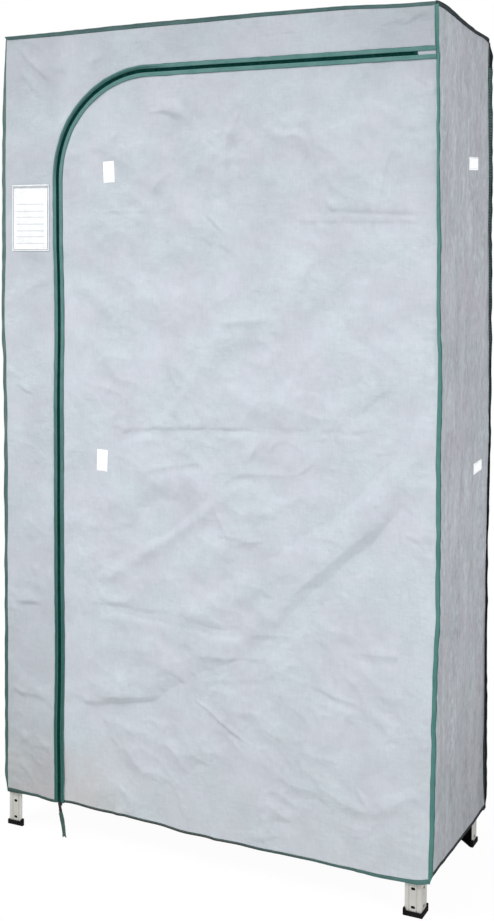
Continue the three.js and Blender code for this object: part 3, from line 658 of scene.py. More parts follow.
def make_ribbon():
    """A flat woven band, doubled at the pull, that hangs with a slight twist and a split, frayed end."""
    g = tab([p[1] for p in RIB], [p[0] for p in RIB], sigma=0.003, step=0.0005)
    z = np.linspace(0.0577, 0.0016, 48)
    x = g(z)
    path = np.stack([x, np.full_like(z, RIB_Y), z], -1)
    T = unit(np.gradient(path, axis=0))
    s = np.concatenate([[0], np.cumsum(np.linalg.norm(np.diff(path, axis=0), axis=1))])
    L = s[-1]
    across = unit(np.cross(T, np.array([0.0, -1.0, 0.0])))
    tw = 0.16 * np.sin(2 * math.pi * s / L * 0.9 + 0.3)
    A = across * np.cos(tw)[:, None] + np.array([0, -1.0, 0]) * np.sin(tw)[:, None]
    B = unit(np.cross(A, T))
    half = 0.0051 * (0.90 + 0.10 * sstep(s / 0.006))
    bag = Bag()
    k = 17
    a = np.linspace(-1, 1, k)
    cup = 0.00035 * (1 - a ** 2)
    # the last 9 mm is cut in a swallow tail
    tail = np.clip((s - (L - 0.0085)) / 0.0085, 0, 1)
    P = np.zeros((len(s), k, 3))
    for i in range(len(s)):
        back = tail[i] * (1 - np.abs(a)) * 0.0034
        c = path[i][None] - T[i][None] * back[:, None]
        wav = 0.00016 * np.sin(2 * math.pi * s[i] / 0.019 + a * 1.4)
        P[i] = c + A[i] * (a * half[i])[:, None] + B[i] * (cup + wav)[:, None]
    fab = np.stack(np.broadcast_arrays(s[:, None], (a * 0.0045)[None], np.abs(a)[None] * 0.0065), -1)
    cloth_grid(bag, P, (0, -1, 0), t=0.0008, fab=fab, m=0)
    # stitched selvedges
    for e in (-1, 1):
        c = path + A * (half * 0.80 * e)[:, None] - np.array([0, 0.00045, 0])
        C, (TT, AA, BB), q = at_step(c, [T, A, B], 0.0026, 0.003)
        keep = q < L - 0.009
        C, TT, AA, BB = C[keep], unit(TT[keep]), unit(AA[keep]), unit(BB[keep])
        place(bag, (CAPV, CAPQ, CAPT), C + BB * 0.00035, TT, AA, BB, (0.00085, 0.00022, 0.00016), m=1)
    ob = bag.obj("ribbon", [M["ribbon"], M["thread"]])
    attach(ob, "zip_pull")
    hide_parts("pull_ribbon")
    return ob


make_ribbon()

# ---------------------------------------------------------------- seam lines
# Every table is height against place; the seams follow the cover's corners as they hang.
_FL = [(1.797, -.5149, -.5048), (1.788, -.5147, -.5049), (1.710, -.5150, -.5085), (1.630, -.5174, -.5066), (1.551, -.5176, -.5083), (1.471, -.5183, -.5082), (1.392, -.5176, -.5073),
       (1.312, -.5175, -.5066), (1.232, -.5188, -.5096), (1.152, -.5187, -.5097), (1.072, -.5146, -.5046), (.992, -.5128, -.5021), (.912, -.5107, -.5014), (.832, -.5106, -.4991),
       (.751, -.5092, -.4982), (.670, -.5094, -.5006), (.590, -.5092, -.5001), (.509, -.5085, -.4996), (.428, -.5082, -.4983), (.347, -.5080, -.4980), (.266, -.5069, -.4973),
       (.184, -.5056, -.4963), (.103, -.5052, -.4966), (.060, -.5050, -.4966)]
_FR = [(1.800, .507, .5165), (1.790, .508, .5160), (1.646, .5113, .5164), (1.578, .5121, .5180), (1.511, .5128, .5179), (1.443, .5138, .5198), (1.375, .5149, .5233), (1.307, .5166, .5246),
       (1.239, .5163, .5237), (1.171, .5173, .5254), (1.103, .5209, .5286), (1.035, .5203, .5298), (.966, .5182, .5277), (.898, .5184, .5283), (.829, .5199, .5297), (.761, .5206, .5298),
       (.692, .5198, .5291), (.623, .5215, .5302), (.554, .5196, .5285), (.484, .5173, .5264), (.415, .5165, .5260), (.345, .5161, .5257), (.276, .5154, .5254), (.206, .5151, .5254),
       (.136, .5145, .5237), (.060, .5145, .5235)]
_BR = [(1.790, .4950, .5040), (1.774, .4958, .5049), (1.697, .4991, .5091), (1.619, .5002, .5098), (1.542, .5023, .5114), (1.465, .5037, .5125), (1.387, .5034, .5109), (1.309, .5060, .5132),
       (1.231, .5069, .5135), (1.153, .5080, .5141), (1.075, .5089, .5139), (.997, .5098, .5135), (.919, .5099, .5137), (.840, .5095, .5125), (.762, .5090, .5114), (.683, .5079, .5117),
       (.604, .5095, .5113), (.525, .5101, .5125), (.446, .5088, .5129), (.367, .5084, .5143), (.288, .5084, .5154), (.208, .5072, .5162), (.129, .5084, .5172), (.088, .5129, .5149), (.060, .5129, .5149)]


def cols(t, i):
    return [r[0] for r in t], [r[i] for r in t]


fl_out, fl_in = tab(*cols(_FL, 1), sigma=0.02), tab(*cols(_FL, 2), sigma=0.02)


def shifted(rows, z, left, right):
    """The same seam table with both of its edges moved sideways by a little, in mm, at the heights in z."""
    return [(a, b + 0.001 * float(np.interp(a, z, left)), c + 0.001 * float(np.interp(a, z, right))) for a, b, c in rows]


_FR = shifted(_FR, [0.08, 0.316, 0.434, 0.60, 0.827, 0.95, 1.22, 1.417, 1.60, 1.75], [0.0, 1.1, 0.3, 1.5, 1.1, 1.4, 0.4, 0.3, 0.3, 0.0], [0.0, 1.1, 0.6, 1.7, 1.1, 1.4, -0.6, -0.4, -0.3, 0.0])
_BR = shifted(_BR, [0.12, 0.186, 0.322, 0.546, 0.774, 0.954, 1.085, 1.22, 1.45, 1.60, 1.70, 1.765, 1.79],
              [1.0, 0.0, 1.9, -1.4, 0.7, 1.2, 1.4, 0.9, 0.5, 0.7, 0.7, -2.0, -2.6], [1.7, 1.2, 0.0, -2.8, -1.2, 0.5, 0.0, -0.5, 0.5, 1.0, 1.7, 0.5, 0.1])
_FL = shifted(_FL, [0.148, 0.283, 0.508, 0.733, 0.959, 1.184, 1.41, 1.59, 1.70, 1.74, 1.797],
              [-0.9, -1.6, -1.9, -0.3, -2.0, -1.6, -1.9, -1.4, -2.2, -1.8, 0.0], [-0.2, -0.9, -0.7, 0.1, -0.7, -0.5, -1.6, -0.2, -1.2, -1.0, 0.0])
fr_in, fr_out = tab(*cols(_FR, 1), sigma=0.02), tab(*cols(_FR, 2), sigma=0.02)
br_in, br_out = tab(*cols(_BR, 1), sigma=0.02), tab(*cols(_BR, 2), sigma=0.02)
APP = 0.483          # how far a point moves sideways in the view for each unit that it lies further back


def fl_y(z):
    return -0.2045 + 0.0042 * sstep((0.95 - np.asarray(z, float)) / 0.85)


def fl_x(z):
    z = np.asarray(z, float)
    return np.minimum(fl_in(z) - APP * (fl_y(z) + 0.204), -0.4998)


def fr_y(z):
    return np.full(np.shape(z), -0.2045)


def fr_x(z):
    return fr_in(np.asarray(z, float))


def br_y(z):
    return np.full(np.shape(z), 0.2035)


def br_x(z):
    return np.maximum(br_in(np.asarray(z, float)), 0.4988)


bl_w = Wob(31, 0.35)


def bl_x(z):
    return -0.5060 - 0.0022 * bl_w(np.asarray(z, float)) * 0.7


def bl_y(z):
    return np.full(np.shape(z), 0.2035)


def lean(width, apparent, forward):
    """How far a fin of that width turns out of its plane to look that wide; positive is towards the viewer."""
    a = np.radians(np.linspace(0, 88, 400))
    w = np.cos(a) - APP * np.sin(a)
    q = np.clip(np.asarray(apparent, float) / width, 0.03, 0.999)
    return np.interp(q, w[::-1], a[::-1]) * (1 if forward else -1)


# height of the top seam
top_front = tab([-.520, -.444, -.377, -.246, -.121, 0, .116, .229, .337, .390, .442, .493, .512],
                [1.8000, 1.8001, 1.8001, 1.8022, 1.8042, 1.8045, 1.8066, 1.8068, 1.8070, 1.8036, 1.8018, 1.8018, 1.8018], sigma=0.025)
top_right = tab([-.2045, -.172, -.147, -.113, -.079, -.043, -.007, .028, .066, .104, .145, .175, .2035],
                [1.8018, 1.8040, 1.8032, 1.8008, 1.7984, 1.7955, 1.7930, 1.7912, 1.7900, 1.7896, 1.7922, 1.7912, 1.7895], sigma=0.010)
top_right_x = tab([-.2045, -.15, 0.0, .12, .2035], [.5070, .5075, .5073, .5060, .4990], sigma=0.012)
top_left = tab([-.2045, -.12, 0.0, .12, .2035], [1.8000, 1.7965, 1.7935, 1.7925, 1.7930], sigma=0.02)
top_back = tab([-.51, -.3, 0.0, .3, .51], [1.7930, 1.7965, 1.7990, 1.7960, 1.7900], sigma=0.04)
HEM_TOP = [(-.500, .0870), (-.485, .0861), (-.446, .0862), (-.408, .0840), (-.370, .0825), (-.332, .0889), (-.258, .0846), (-.185, .0826), (-.114, .0807), (-.080, .0786), (-.011, .0768),
           (.057, .0749), (.123, .0753), (.219, .0758), (.313, .0742), (.404, .0747), (.463, .0752), (.492, .0798), (.515, .0885)]
HEM_BOT = [(-.500, .0725), (-.485, .0745), (-.446, .0793), (-.408, .0771), (-.370, .0727), (-.332, .0798), (-.258, .0778), (-.185, .0759), (-.114, .0740), (-.080, .0720), (-.011, .0702),
           (.057, .0706), (.123, .0689), (.219, .0695), (.313, .0680), (.404, .0686), (.463, .0690), (.492, .0706), (.515, .0800)]
HEM_X = [a for a, _ in HEM_TOP]
hem_mid = tab(HEM_X, [0.5 * (a[1] + b[1]) + 0.001 * float(np.interp(a[0], [-.50, -.463, -.407, -.36, -.30, -.195, .004, .099, .192, .326, .40, .4545, .496], [-.2, -.2, 1.8, .8, -1.1, 0, -1.6, -.6, .5, 0, -.8, -1.4, -2.6])) for a, b in zip(HEM_TOP, HEM_BOT)], sigma=0.012)
hem_side = tab([-.2045, -.152, -.098, -.043, .014, .044, .167, .200], [.0815, .0788, .0764, .0748, .0745, .0728, .0762, .0796], sigma=0.012)

# ---------------------------------------------------------------- zip line
ZX0, ZX1, ZCX, ZCZ, ZTOP = -0.3520, -0.3645, -0.140, 1.480, 1.710
RX, RZ = ZCX - ZX1, ZTOP - ZCZ


zip_sway = tab([0.07, 0.19, 0.45, 0.60, 0.68, 0.76, 0.84, 0.90, 0.96, 1.05, 1.20, 1.33, 1.36], [-.0010, -.0010, -.0009, -.0014, -.0024, -.0028, -.0016, 0.0, .0011, .0009, .0003, 0, 0], sigma=0.022)


def zip_x(z):
    """The straight run's centre line; it bows a little, as the cloth is pulled to one side."""
    t = np.clip((np.asarray(z, float) - 0.077) / (ZCZ - 0.077), 0, 1)
    return ZX0 + (ZX1 - ZX0) * t + 0.0009 * np.sin(math.pi * t) + zip_sway(z)


def zip_line(d, z0=0.077, x1=0.468, step=0.004):
    """Points (x, z) along the zip at distance d to its left and above it, with the left-hand normal."""
    a = []
    nz = int((ZCZ - z0) / step)
    for z in np.linspace(z0, ZCZ, nz, endpoint=False):
        a.append((float(zip_x(z)), z))
    per = math.pi / 2 * math.sqrt((RX * RX + RZ * RZ) / 2)
    for p in np.linspace(0, math.pi / 2, int(per / step), endpoint=False):
        a.append((ZCX - RX * math.cos(p), ZCZ + RZ * math.sin(p)))
    for x in np.arange(ZCX, x1 + 1e-6, step):
        a.append((x, ZTOP))
    a = np.array(a)
    t = unit(np.gradient(a, axis=0))
    n = np.stack([-t[:, 1], t[:, 0]], -1)
    return a + n * d, n, t

# ---------------------------------------------------------------- relief of the hanging cloth
# kind, half width in mm, slope, points (x, z) on the front in metres:
# d a fold that faces away from the light, l one that faces it, r a ridge, v a valley
CREASES = [
    ('d', 9, 0.1, [(-0.501,1.799),(-0.446,1.746),(-0.373,1.685)]),
    ('d', 8, 0.08, [(-0.495,1.754),(-0.427,1.672),(-0.386,1.641)]),
    ('d', 6, 0.07, [(-0.366,1.795),(-0.339,1.74)]),
    ('d', 7, 0.06, [(-0.295,1.797),(-0.261,1.757)]),
    ('d', 14, 0.1, [(-0.242,1.532),(-0.191,1.589),(-0.129,1.615),(-0.068,1.612),(-0.015,1.585)]),
    ('l', 6, 0.07, [(-0.08,1.655),(-0.015,1.589)]),
    ('d', 6, 0.06, [(-0.02,1.663),(-0.008,1.603)]),
    ('d', 10, 0.08, [(0.109,1.64),(0.082,1.595),(0.059,1.534),(0.062,1.482),(0.079,1.413)]),
    ('l', 7, 0.08, [(0.114,1.59),(0.094,1.543)]),
    ('d', 4, 0.09, [(0.005,1.563),(0.036,1.535)]),
    ('d', 14, 0.08, [(-0.065,1.491),(-0.103,1.464),(-0.123,1.421)]),
    ('d', 4, 0.08, [(-0.254,1.405),(-0.123,1.406)]),
    ('v', 4, 0.09, [(0.065,1.411),(0.29,1.402),(0.5,1.393)]),
    ('d', 4, 0.06, [(0.157,1.383),(0.49,1.381)]),
    ('l', 7, 0.07, [(-0.267,1.368),(-0.128,1.37)]),
    ('l', 7, 0.06, [(-0.177,1.34),(-0.09,1.344)]),
    ('d', 4, 0.1, [(0.001,1.405),(0.061,1.35)]),
    ('d', 6, 0.06, [(-0.001,1.357),(0.03,1.325)]),
    ('d', 6, 0.06, [(0.03,1.342),(0.077,1.315)]),
    ('d', 13, 0.07, [(0.007,1.272),(0.01,1.177)]),
    ('l', 8, 0.08, [(-0.002,1.166),(-0.006,1.092),(-0.032,1.037),(-0.064,1.004),(-0.105,0.941)]),
    ('d', 12, 0.05, [(-0.241,1.346),(-0.222,1.149)]),
    ('d', 10, 0.06, [(0.35,1.799),(0.286,1.778)]),
    ('d', 11, 0.12, [(0.499,1.795),(0.455,1.766),(0.403,1.74)]),
    ('l', 7, 0.08, [(0.154,1.691),(0.184,1.657)]),
    ('d', 6, 0.07, [(0.139,1.665),(0.139,1.614)]),
    ('l', 6, 0.06, [(0.17,1.67),(0.171,1.633)]),
    ('l', 6, 0.06, [(0.188,1.673),(0.191,1.64)]),
    ('d', 9, 0.09, [(0.123,1.573),(0.142,1.542),(0.147,1.48),(0.152,1.418)]),
    ('d', 8, 0.09, [(0.155,1.593),(0.178,1.561),(0.223,1.57),(0.249,1.538),(0.228,1.478),(0.233,1.437)]),
    ('d', 5, 0.08, [(0.423,1.533),(0.407,1.474),(0.391,1.376)]),
    ('l', 6, 0.07, [(0.433,1.531),(0.417,1.472),(0.404,1.374)]),
    ('d', 8, 0.07, [(0.447,1.565),(0.488,1.56)]),
    ('d', 10, 0.07, [(0.268,1.437),(0.301,1.396)]),
    ('d', 10, 0.08, [(0.28,1.326),(0.248,1.285),(0.222,1.203)]),
    ('d', 12, 0.05, [(0.394,1.326),(0.399,1.207)]),
    ('r', 7, 0.09, [(0.154,1.181),(0.078,1.175),(0.031,1.167)]),
    ('d', 7, 0.08, [(-0.488,1.142),(-0.398,1.14)]),
    ('d', 6, 0.07, [(-0.493,1.1),(-0.438,1.075)]),
    ('d', 7, 0.07, [(-0.493,1.027),(-0.411,0.986)]),
    ('d', 8, 0.12, [(-0.493,0.929),(-0.46,0.919),(-0.384,0.926)]),
    ('d', 7, 0.08, [(-0.487,0.725),(-0.437,0.7),(-0.404,0.669)]),
    ('d', 7, 0.08, [(-0.492,0.521),(-0.409,0.524)]),
    ('d', 6, 0.08, [(-0.491,0.325),(-0.441,0.304)]),
    ('d', 6, 0.07, [(-0.435,0.218),(-0.477,0.176)]),
    ('v', 5, 0.1, [(-0.343,0.929),(-0.226,0.929),(-0.051,0.942),(0.115,0.948),(0.273,0.952),(0.444,0.957)]),
    ('d', 7, 0.09, [(-0.226,0.925),(-0.051,0.94),(0.115,0.95)]),
    ('d', 8, 0.08, [(-0.205,0.917),(-0.162,0.933)]),
    ('d', 7, 0.07, [(-0.15,0.93),(-0.112,0.936)]),
    ('d', 6, 0.07, [(-0.196,1.052),(-0.226,1.017),(-0.244,0.972)]),
    ('d', 6, 0.06, [(-0.077,1.153),(-0.071,1.046),(-0.027,1.031)]),
    ('d', 7, 0.07, [(-0.18,0.987),(-0.226,0.947)]),
    ('d', 6, 0.07, [(0.009,1.008),(0.014,0.944)]),
    ('l', 8, 0.07, [(-0.221,0.892),(-0.137,0.928),(-0.075,0.917),(0.022,0.881)]),
    ('d', 8, 0.07, [(-0.149,0.836),(-0.075,0.857),(0.029,0.875)]),
    ('l', 11, 0.09, [(0.104,0.855),(0.034,0.797),(-0.062,0.724),(-0.136,0.678),(-0.199,0.634),(-0.263,0.593)]),
    ('r', 16, 0.06, [(0.104,0.847),(0.034,0.788),(-0.061,0.715),(-0.136,0.669),(-0.199,0.625),(-0.263,0.584)]),
    ('r', 6, 0.1, [(0.03,0.796),(0.059,0.735),(0.075,0.705)]),
    ('d', 6, 0.07, [(0.011,0.72),(0.106,0.719)]),
    ('r', 8, 0.09, [(0.082,0.714),(0.136,0.718),(0.186,0.725)]),
    ('r', 8, 0.09, [(0.249,1.112),(0.221,1.08),(0.194,1.017),(0.184,0.955)]),
    ('l', 7, 0.08, [(0.267,1.062),(0.283,1.022),(0.284,0.981),(0.262,0.929)]),
    ('d', 5, 0.07, [(0.342,1.035),(0.312,0.983),(0.273,0.919)]),
    ('d', 5, 0.06, [(0.355,1.032),(0.325,0.98),(0.289,0.916)]),
    ('l', 6, 0.06, [(0.39,1.127),(0.369,1.096)]),
    ('d', 7, 0.07, [(0.432,1.059),(0.37,1.01),(0.359,0.976)]),
    ('d', 6, 0.06, [(0.419,0.989),(0.475,0.992)]),
    ('d', 8, 0.12, [(0.143,0.931),(0.116,0.877)]),
    ('d', 8, 0.11, [(0.184,0.934),(0.162,0.901)]),
    ('d', 9, 0.08, [(0.034,0.797),(0.081,0.854),(0.162,0.854),(0.23,0.855),(0.295,0.921)]),
    ('d', 11, 0.08, [(0.285,0.879),(0.317,0.872)]),
    ('d', 6, 0.07, [(0.185,0.789),(0.252,0.799)]),
    ('d', 14, 0.09, [(0.445,0.832),(0.415,0.769),(0.362,0.734),(0.298,0.676),(0.254,0.641),(0.21,0.594),(0.176,0.517)]),
    ('l', 10, 0.09, [(0.382,0.847),(0.318,0.78),(0.253,0.723)]),
    ('d', 7, 0.07, [(0.436,0.765),(0.498,0.748)]),
    ('d', 6, 0.06, [(0.467,0.794),(0.446,0.762)]),
    ('d', 7, 0.06, [(0.141,0.628),(0.164,0.599)]),
    ('l', 8, 0.08, [(0.353,0.632),(0.331,0.589),(0.31,0.545)]),
    ('v', 9, 0.12, [(-0.302,0.548),(-0.16,0.528),(-0.048,0.531),(0.025,0.514),(0.119,0.522)]),
    ('d', 7, 0.07, [(0.103,0.518),(0.233,0.525)]),
    ('d', 9, 0.07, [(-0.023,0.458),(0.073,0.457),(0.177,0.475)]),
    ('d', 9, 0.06, [(-0.011,0.406),(0.085,0.412),(0.177,0.434)]),
    ('d', 9, 0.07, [(0.343,0.509),(0.407,0.511),(0.47,0.516)]),
    ('d', 6, 0.07, [(-0.338,0.304),(-0.288,0.307)]),
    ('d', 13, 0.09, [(-0.275,0.33),(-0.197,0.335),(-0.071,0.354)]),
    ('d', 5, 0.12, [(-0.084,0.396),(-0.035,0.37),(0.014,0.35),(0.062,0.321),(0.121,0.281),(0.163,0.28)]),
    ('d', 6, 0.07, [(-0.028,0.425),(0.009,0.405)]),
    ('l', 6, 0.08, [(0.245,0.423),(0.312,0.402),(0.377,0.391)]),
    ('d', 7, 0.06, [(0.256,0.433),(0.322,0.412),(0.385,0.401)]),
    ('d', 10, 0.08, [(0.015,0.205),(0.016,0.151)]),
    ('d', 9, 0.07, [(0.063,0.171),(0.099,0.135)]),
    ('d', 13, 0.09, [(0.461,0.395),(0.441,0.351),(0.399,0.304),(0.356,0.272)]),
    ('d', 6, 0.07, [(0.324,0.26),(0.342,0.232)]),
    ('r', 5, 0.08, [(0.35,0.254),(0.394,0.197)]),
    ('d', 6, 0.07, [(0.411,0.184),(0.386,0.139)]),
    ('d', 8, 0.07, [(0.123,0.086),(0.237,0.113),(0.369,0.139),(0.443,0.134),(0.495,0.18)]),
    ('d', 8, 0.06, [(0.282,0.097),(0.347,0.121)]),
    ('d', 8, 0.06, [(0.359,0.088),(0.475,0.106)]),
]
# the broad soft folds between them: kind, half width in mm, slope, points (x, z)
BROAD = [
    ('l', 30, 0.085, [(0.507, 1.210), (0.495, 1.033), (0.445, 0.912), (0.340, 0.803), (0.187, 0.696), (0.048, 0.607), (-0.121, 0.522)]),
    ('d', 26, 0.100, [(0.470, 0.870), (0.384, 0.756), (0.298, 0.677), (0.222, 0.586), (0.120, 0.499), (0.002, 0.426), (-0.120, 0.347), (-0.300, 0.319)]),
    ('d', 40, 0.060, [(-0.302, 0.701), (-0.173, 0.757), (-0.001, 0.832), (0.058, 0.863)]),
    ('d', 12, 0.100, [(-0.322, 0.528), (-0.147, 0.552)]),
    ('d', 11, 0.100, [(-0.321, 0.309), (-0.083, 0.346)]),
    ('l', 30, 0.050, [(-0.221, 1.149), (-0.125, 1.018)]),
    ('l', 20, 0.050, [(0.025, 1.161), (0.011, 1.124), (-0.027, 1.066), (-0.100, 0.998)]),
    ('d', 22, 0.050, [(0.155, 1.171), (0.072, 1.126), (0.035, 1.072), (0.012, 1.004)]),
    ('d', 25, 0.060, [(0.082, 1.620), (0.110, 1.574), (0.088, 1.523)]),
    ('d', 28, 0.055, [(-0.224, 1.638), (-0.129, 1.617), (-0.026, 1.595)]),
    ('d', 22, 0.050, [(0.262, 1.641), (0.378, 1.643)]),
    ('d', 18, 0.050, [(0.273, 1.403), (0.490, 1.393)]),
    ('l', 18, 0.045, [(0.291, 1.352), (0.497, 1.350)]),
    ('d', 28, 0.070, [(0.346, 0.250), (0.448, 0.296), (0.485, 0.369)]),
    ('d', 22, 0.060, [(-0.020, 0.145), (0.064, 0.139), (0.304, 0.139), (0.454, 0.132)]),
    ('l', 25, 0.050, [(-0.009, 0.273), (0.103, 0.285)]),
    ('l', 22, 0.055, [(-0.306, 0.481), (-0.121, 0.474), (-0.018, 0.466)]),
    ('d', 20, 0.045, [(0.148, 0.907), (0.116, 0.863)]),
    ('d', 20, 0.045, [(0.066, 0.774), (0.154, 0.753), (0.213, 0.771)]),
    ('d', 9, 0.100, [(-0.487, 1.160), (-0.394, 1.144)]),
    ('d', 9, 0.110, [(-0.487, 0.927), (-0.388, 0.928)]),
    ('d', 9, 0.090, [(-0.487, 1.014), (-0.388, 0.982)]),
    ('d', 10, 0.100, [(-0.486, 0.725), (-0.387, 0.670)]),
    ('d', 10, 0.110, [(-0.485, 0.513), (-0.387, 0.525)]),
    ('d', 10, 0.100, [(-0.485, 0.402), (-0.386, 0.397)]),
    ('d', 9, 0.100, [(-0.485, 0.314), (-0.386, 0.306)]),
    ('d', 13, 0.070, [(0.120, 1.762), (0.221, 1.760), (0.313, 1.764)]),
    ('d', 13, 0.070, [(0.385, 1.759), (0.459, 1.775)]),
]
LIGHT2 = np.array([-0.46, 0.89])


def chaikin(p, n=2):
    p = np.asarray(p, float)
    for _ in range(n):
        if len(p) < 3:
            return p
        a = p[:-1] * 0.75 + p[1:] * 0.25
        b = p[:-1] * 0.25 + p[1:] * 0.75
        mid = np.empty((len(a) * 2, 2))
        mid[0::2], mid[1::2] = a, b
        p = np.concatenate([p[:1], mid, p[-1:]])
    return p


def crease_field(x, z, lines, gain=1.0):
    shape = np.broadcast(x, z).shape
    x, z = np.broadcast_to(x, shape).ravel(), np.broadcast_to(z, shape).ravel()
    out = np.zeros(x.shape)
    for kind, w, a, pts in lines:
        w = w * 0.001
        q = chaikin(pts)
        r = 3.4 * w
        mask = (x > q[:, 0].min() - r) & (x < q[:, 0].max() + r) & (z > q[:, 1].min() - r) & (z < q[:, 1].max() + r)
        if not mask.any():
            continue
        X = np.stack([x[mask], z[mask]], -1)
        A, D = q[:-1], np.diff(q, axis=0)
        L = np.maximum(np.linalg.norm(D, axis=1), 1e-6)
        n = np.stack([-D[:, 1], D[:, 0]], -1) / L[:, None]
        s0 = np.concatenate([[0], np.cumsum(L)])[:-1]
        tot = L.sum()
        facing = (L[:, None] * n).sum(0) @ LIGHT2 / tot
        if facing < 0:
            n, facing = -n, -facing
        R = X[:, None] - A[None]
        t = np.clip((R * D[None]).sum(-1) / (L * L)[None], 0, 1)
        E = R - t[..., None] * D[None]
        d2 = (E * E).sum(-1)
        k = d2.argmin(1)
        i = np.arange(len(X))
        sd = (R[i, k] * n[k]).sum(-1)
        s = s0[k] + t[i, k] * L[k]
        tau = min(0.42 * tot, 4 * w + 0.012)
        wt = sstep(s / tau) * sstep((tot - s) / tau)
        g = np.exp(-d2[i, k] / (2 * w * w))
        a_ = a * gain / max(0.55, facing)
        if kind in 'dl':
            sg = 1 if kind == 'd' else -1
            # a broad fold with a crisp fold line along its lit side
            f = a_ * sd * g * sg
            if w < 0.018:
                f = f + sg * 0.40 * a_ * w * np.exp(-np.abs(sd - 0.6 * w * sg) / (0.42 * w))
        else:
            f = a_ * w * (0.7 * g / 0.607 + 0.7 * np.exp(-np.abs(sd) / (0.6 * w))) * (1 if kind == 'r' else -1)
        out[mask] += f * wt
    return out.reshape(shape)


und_a, und_b, und_c = Waves(3, 0.42, 12), Waves(4, 0.17, 16), Waves(5, 0.060, 22)
crumple_a, crumple_b, crumple_c, crumple_d = Waves(6, 0.36, 12), Waves(7, 0.17, 14), Waves(8, 0.085, 16), Waves(9, 0.042, 20)
hem_wob = Wob(11, 0.16)


def base_front(x, z):
    """How far the front's general surface stands out of its plane: slow waves and the loose hem."""
    x, z = np.asarray(x, float), np.asarray(z, float)
    calm = sstep((1.80 - z) / 0.10) * sstep((x + 0.507) / 0.07) * sstep((0.512 - x) / 0.05)
    low = sstep((0.32 - z) / 0.28)
    out = (0.0013 * und_a(x, z) + 0.00055 * und_b(x, z)) * calm
    out = out + 0.0013 * hem_wob(x) * low * sstep((x + 0.507) / 0.05) * sstep((0.512 - x) / 0.05)
    # it lies flat behind the label pocket, and where the zip ends its straight run
    zone = sstep((x + 0.502) / 0.018) * sstep((-0.370 - x) / 0.020) * sstep((z - 1.290) / 0.035) * sstep((1.655 - z) / 0.035)
    out = out + (0.0012 - out) * 0.92 * zone
    near = np.exp(-(zip_dist(x, z) / 0.034) ** 2) * sstep((z - 1.29) / 0.06) * sstep((1.60 - z) / 0.08)
    out = out + (0.0006 - out) * near
    return out + 0.0004


def y_front(x, z):
    """The outer surface of the front without its creases."""
    x, z = np.asarray(x, float), np.asarray(z, float)
    left = (fl_y(z) + 0.2045) * sstep(1 - (x - fl_x(z)) / 0.07)
    return -0.2045 + left - base_front(x, z)


puck = Wob(21, 0.030)
puck2 = Wob(22, 0.026)
puck3 = Wob(23, 0.034)
puck4 = Wob(24, 0.022)


def zip_dist(x, z):
    """Distance from the zip's centre line, positive to its left and above."""
    x, z = np.asarray(x, float), np.asarray(z, float)
    v = zip_x(z) - x
    q = np.sqrt(((x - ZCX) / RX) ** 2 + (np.maximum(z - ZCZ, 0) / RZ) ** 2)
    e = (q - 1) * 0.5 * (RX + RZ)
    h = z - ZTOP
    return np.where(z < ZCZ, v, np.where(x < ZCX, e, h))


BOLTS = [(sx * cx, cz) for sx in (-1, 1) for cx in (0.468, 0.488) for cz in (0.130, 0.150, 0.170)]


def relief_front(x, z):
    x, z = np.asarray(x, float), np.asarray(z, float)
    zd = np.abs(zip_dist(x, z))
    dl, dr, dt = x - fl_x(z), fr_x(z) - x, top_front(x) - z
    r = crease_field(x, z, CREASES, 2.5)
    r += 0.00012 * und_c(x, z)
    more = 1 + 0.75 * sstep((0.62 - z) / 0.45) + 0.35 * sstep((-0.37 - x) / 0.03) * sstep((1.25 - z) / 0.3)
    r *= 1 + 0.4 * (more - 1)
    r -= more * (0.0026 * np.abs(crumple_a(x, z)) + 0.0014 * np.abs(crumple_b(x, z)) + 0.00072 * np.abs(crumple_c(x, z)) + 0.00030 * np.abs(crumple_d(x, z)) - 0.0032)
    r += 0.00030 * puck(z) * np.exp(-dl / 0.020) * sstep(dl / 0.004)
    r += 0.00040 * puck2(z) * np.exp(-dr / 0.024) * sstep(dr / 0.004)
    r += 0.00035 * puck3(x) * np.exp(-dt / 0.022) * sstep(dt / 0.004)
    r += 0.00025 * puck4(x + z) * np.exp(-(zd - 0.012) / 0.018) * sstep((zd - 0.0125) / 0.006)
    edge = sstep(dl / 0.010) * sstep(dr / 0.010) * sstep(dt / 0.010) * sstep((zd - 0.0115) / 0.010)
    card = sstep((x + 0.497) / 0.010) * sstep((-0.377 - x) / 0.010) * sstep((z - 1.312) / 0.010) * sstep((1.480 - z) / 0.010)
    above = sstep((x + 0.496) / 0.012) * sstep((-0.378 - x) / 0.012) * sstep((z - 1.465) / 0.010) * sstep((1.650 - z) / 0.025)
    b = crease_field(x, z, BROAD, 2.7) * sstep(dl / 0.022) * sstep(dr / 0.030) * sstep(dt / 0.022) * sstep((zd - 0.0115) / 0.022)
    b = b + 0.0040 * sstep(dl / 0.16) * sstep(dr / 0.16) * sstep(dt / 0.16) * sstep((zd - 0.0115) / 0.16) * sstep((z - 0.08) / 0.2)
    b = np.maximum(b, -0.0016) + 0.0006 * np.exp(-np.maximum(b + 0.0016, 0) / 0.0012) - 0.0006
    r = (np.clip(r, -0.0030, 0.008) + b) * edge * (1 - card) * (1 - 0.85 * above)
    # the heads of the frame's bolts press through a little
    for bx, bz in BOLTS:
        r = np.maximum(r, 0.0016 * np.exp(-((x - bx) ** 2 + (z - bz) ** 2) / 0.0001))
    return r


def surf_front(x, z):
    y = y_front(x, z) - relief_front(x, z)
    return np.minimum(y, -0.1996)


def fab_of(a, b):
    return np.stack([a, b, np.zeros_like(a)], -1)


def panel(name, P, ref, mats, flat, area, held, rests, t=0.0009, fab=None):
    bag = Bag()
    cloth_grid(bag, P, ref, t=t, fab=fab, m=0, m_back=1)
    return bag.obj(name, mats)


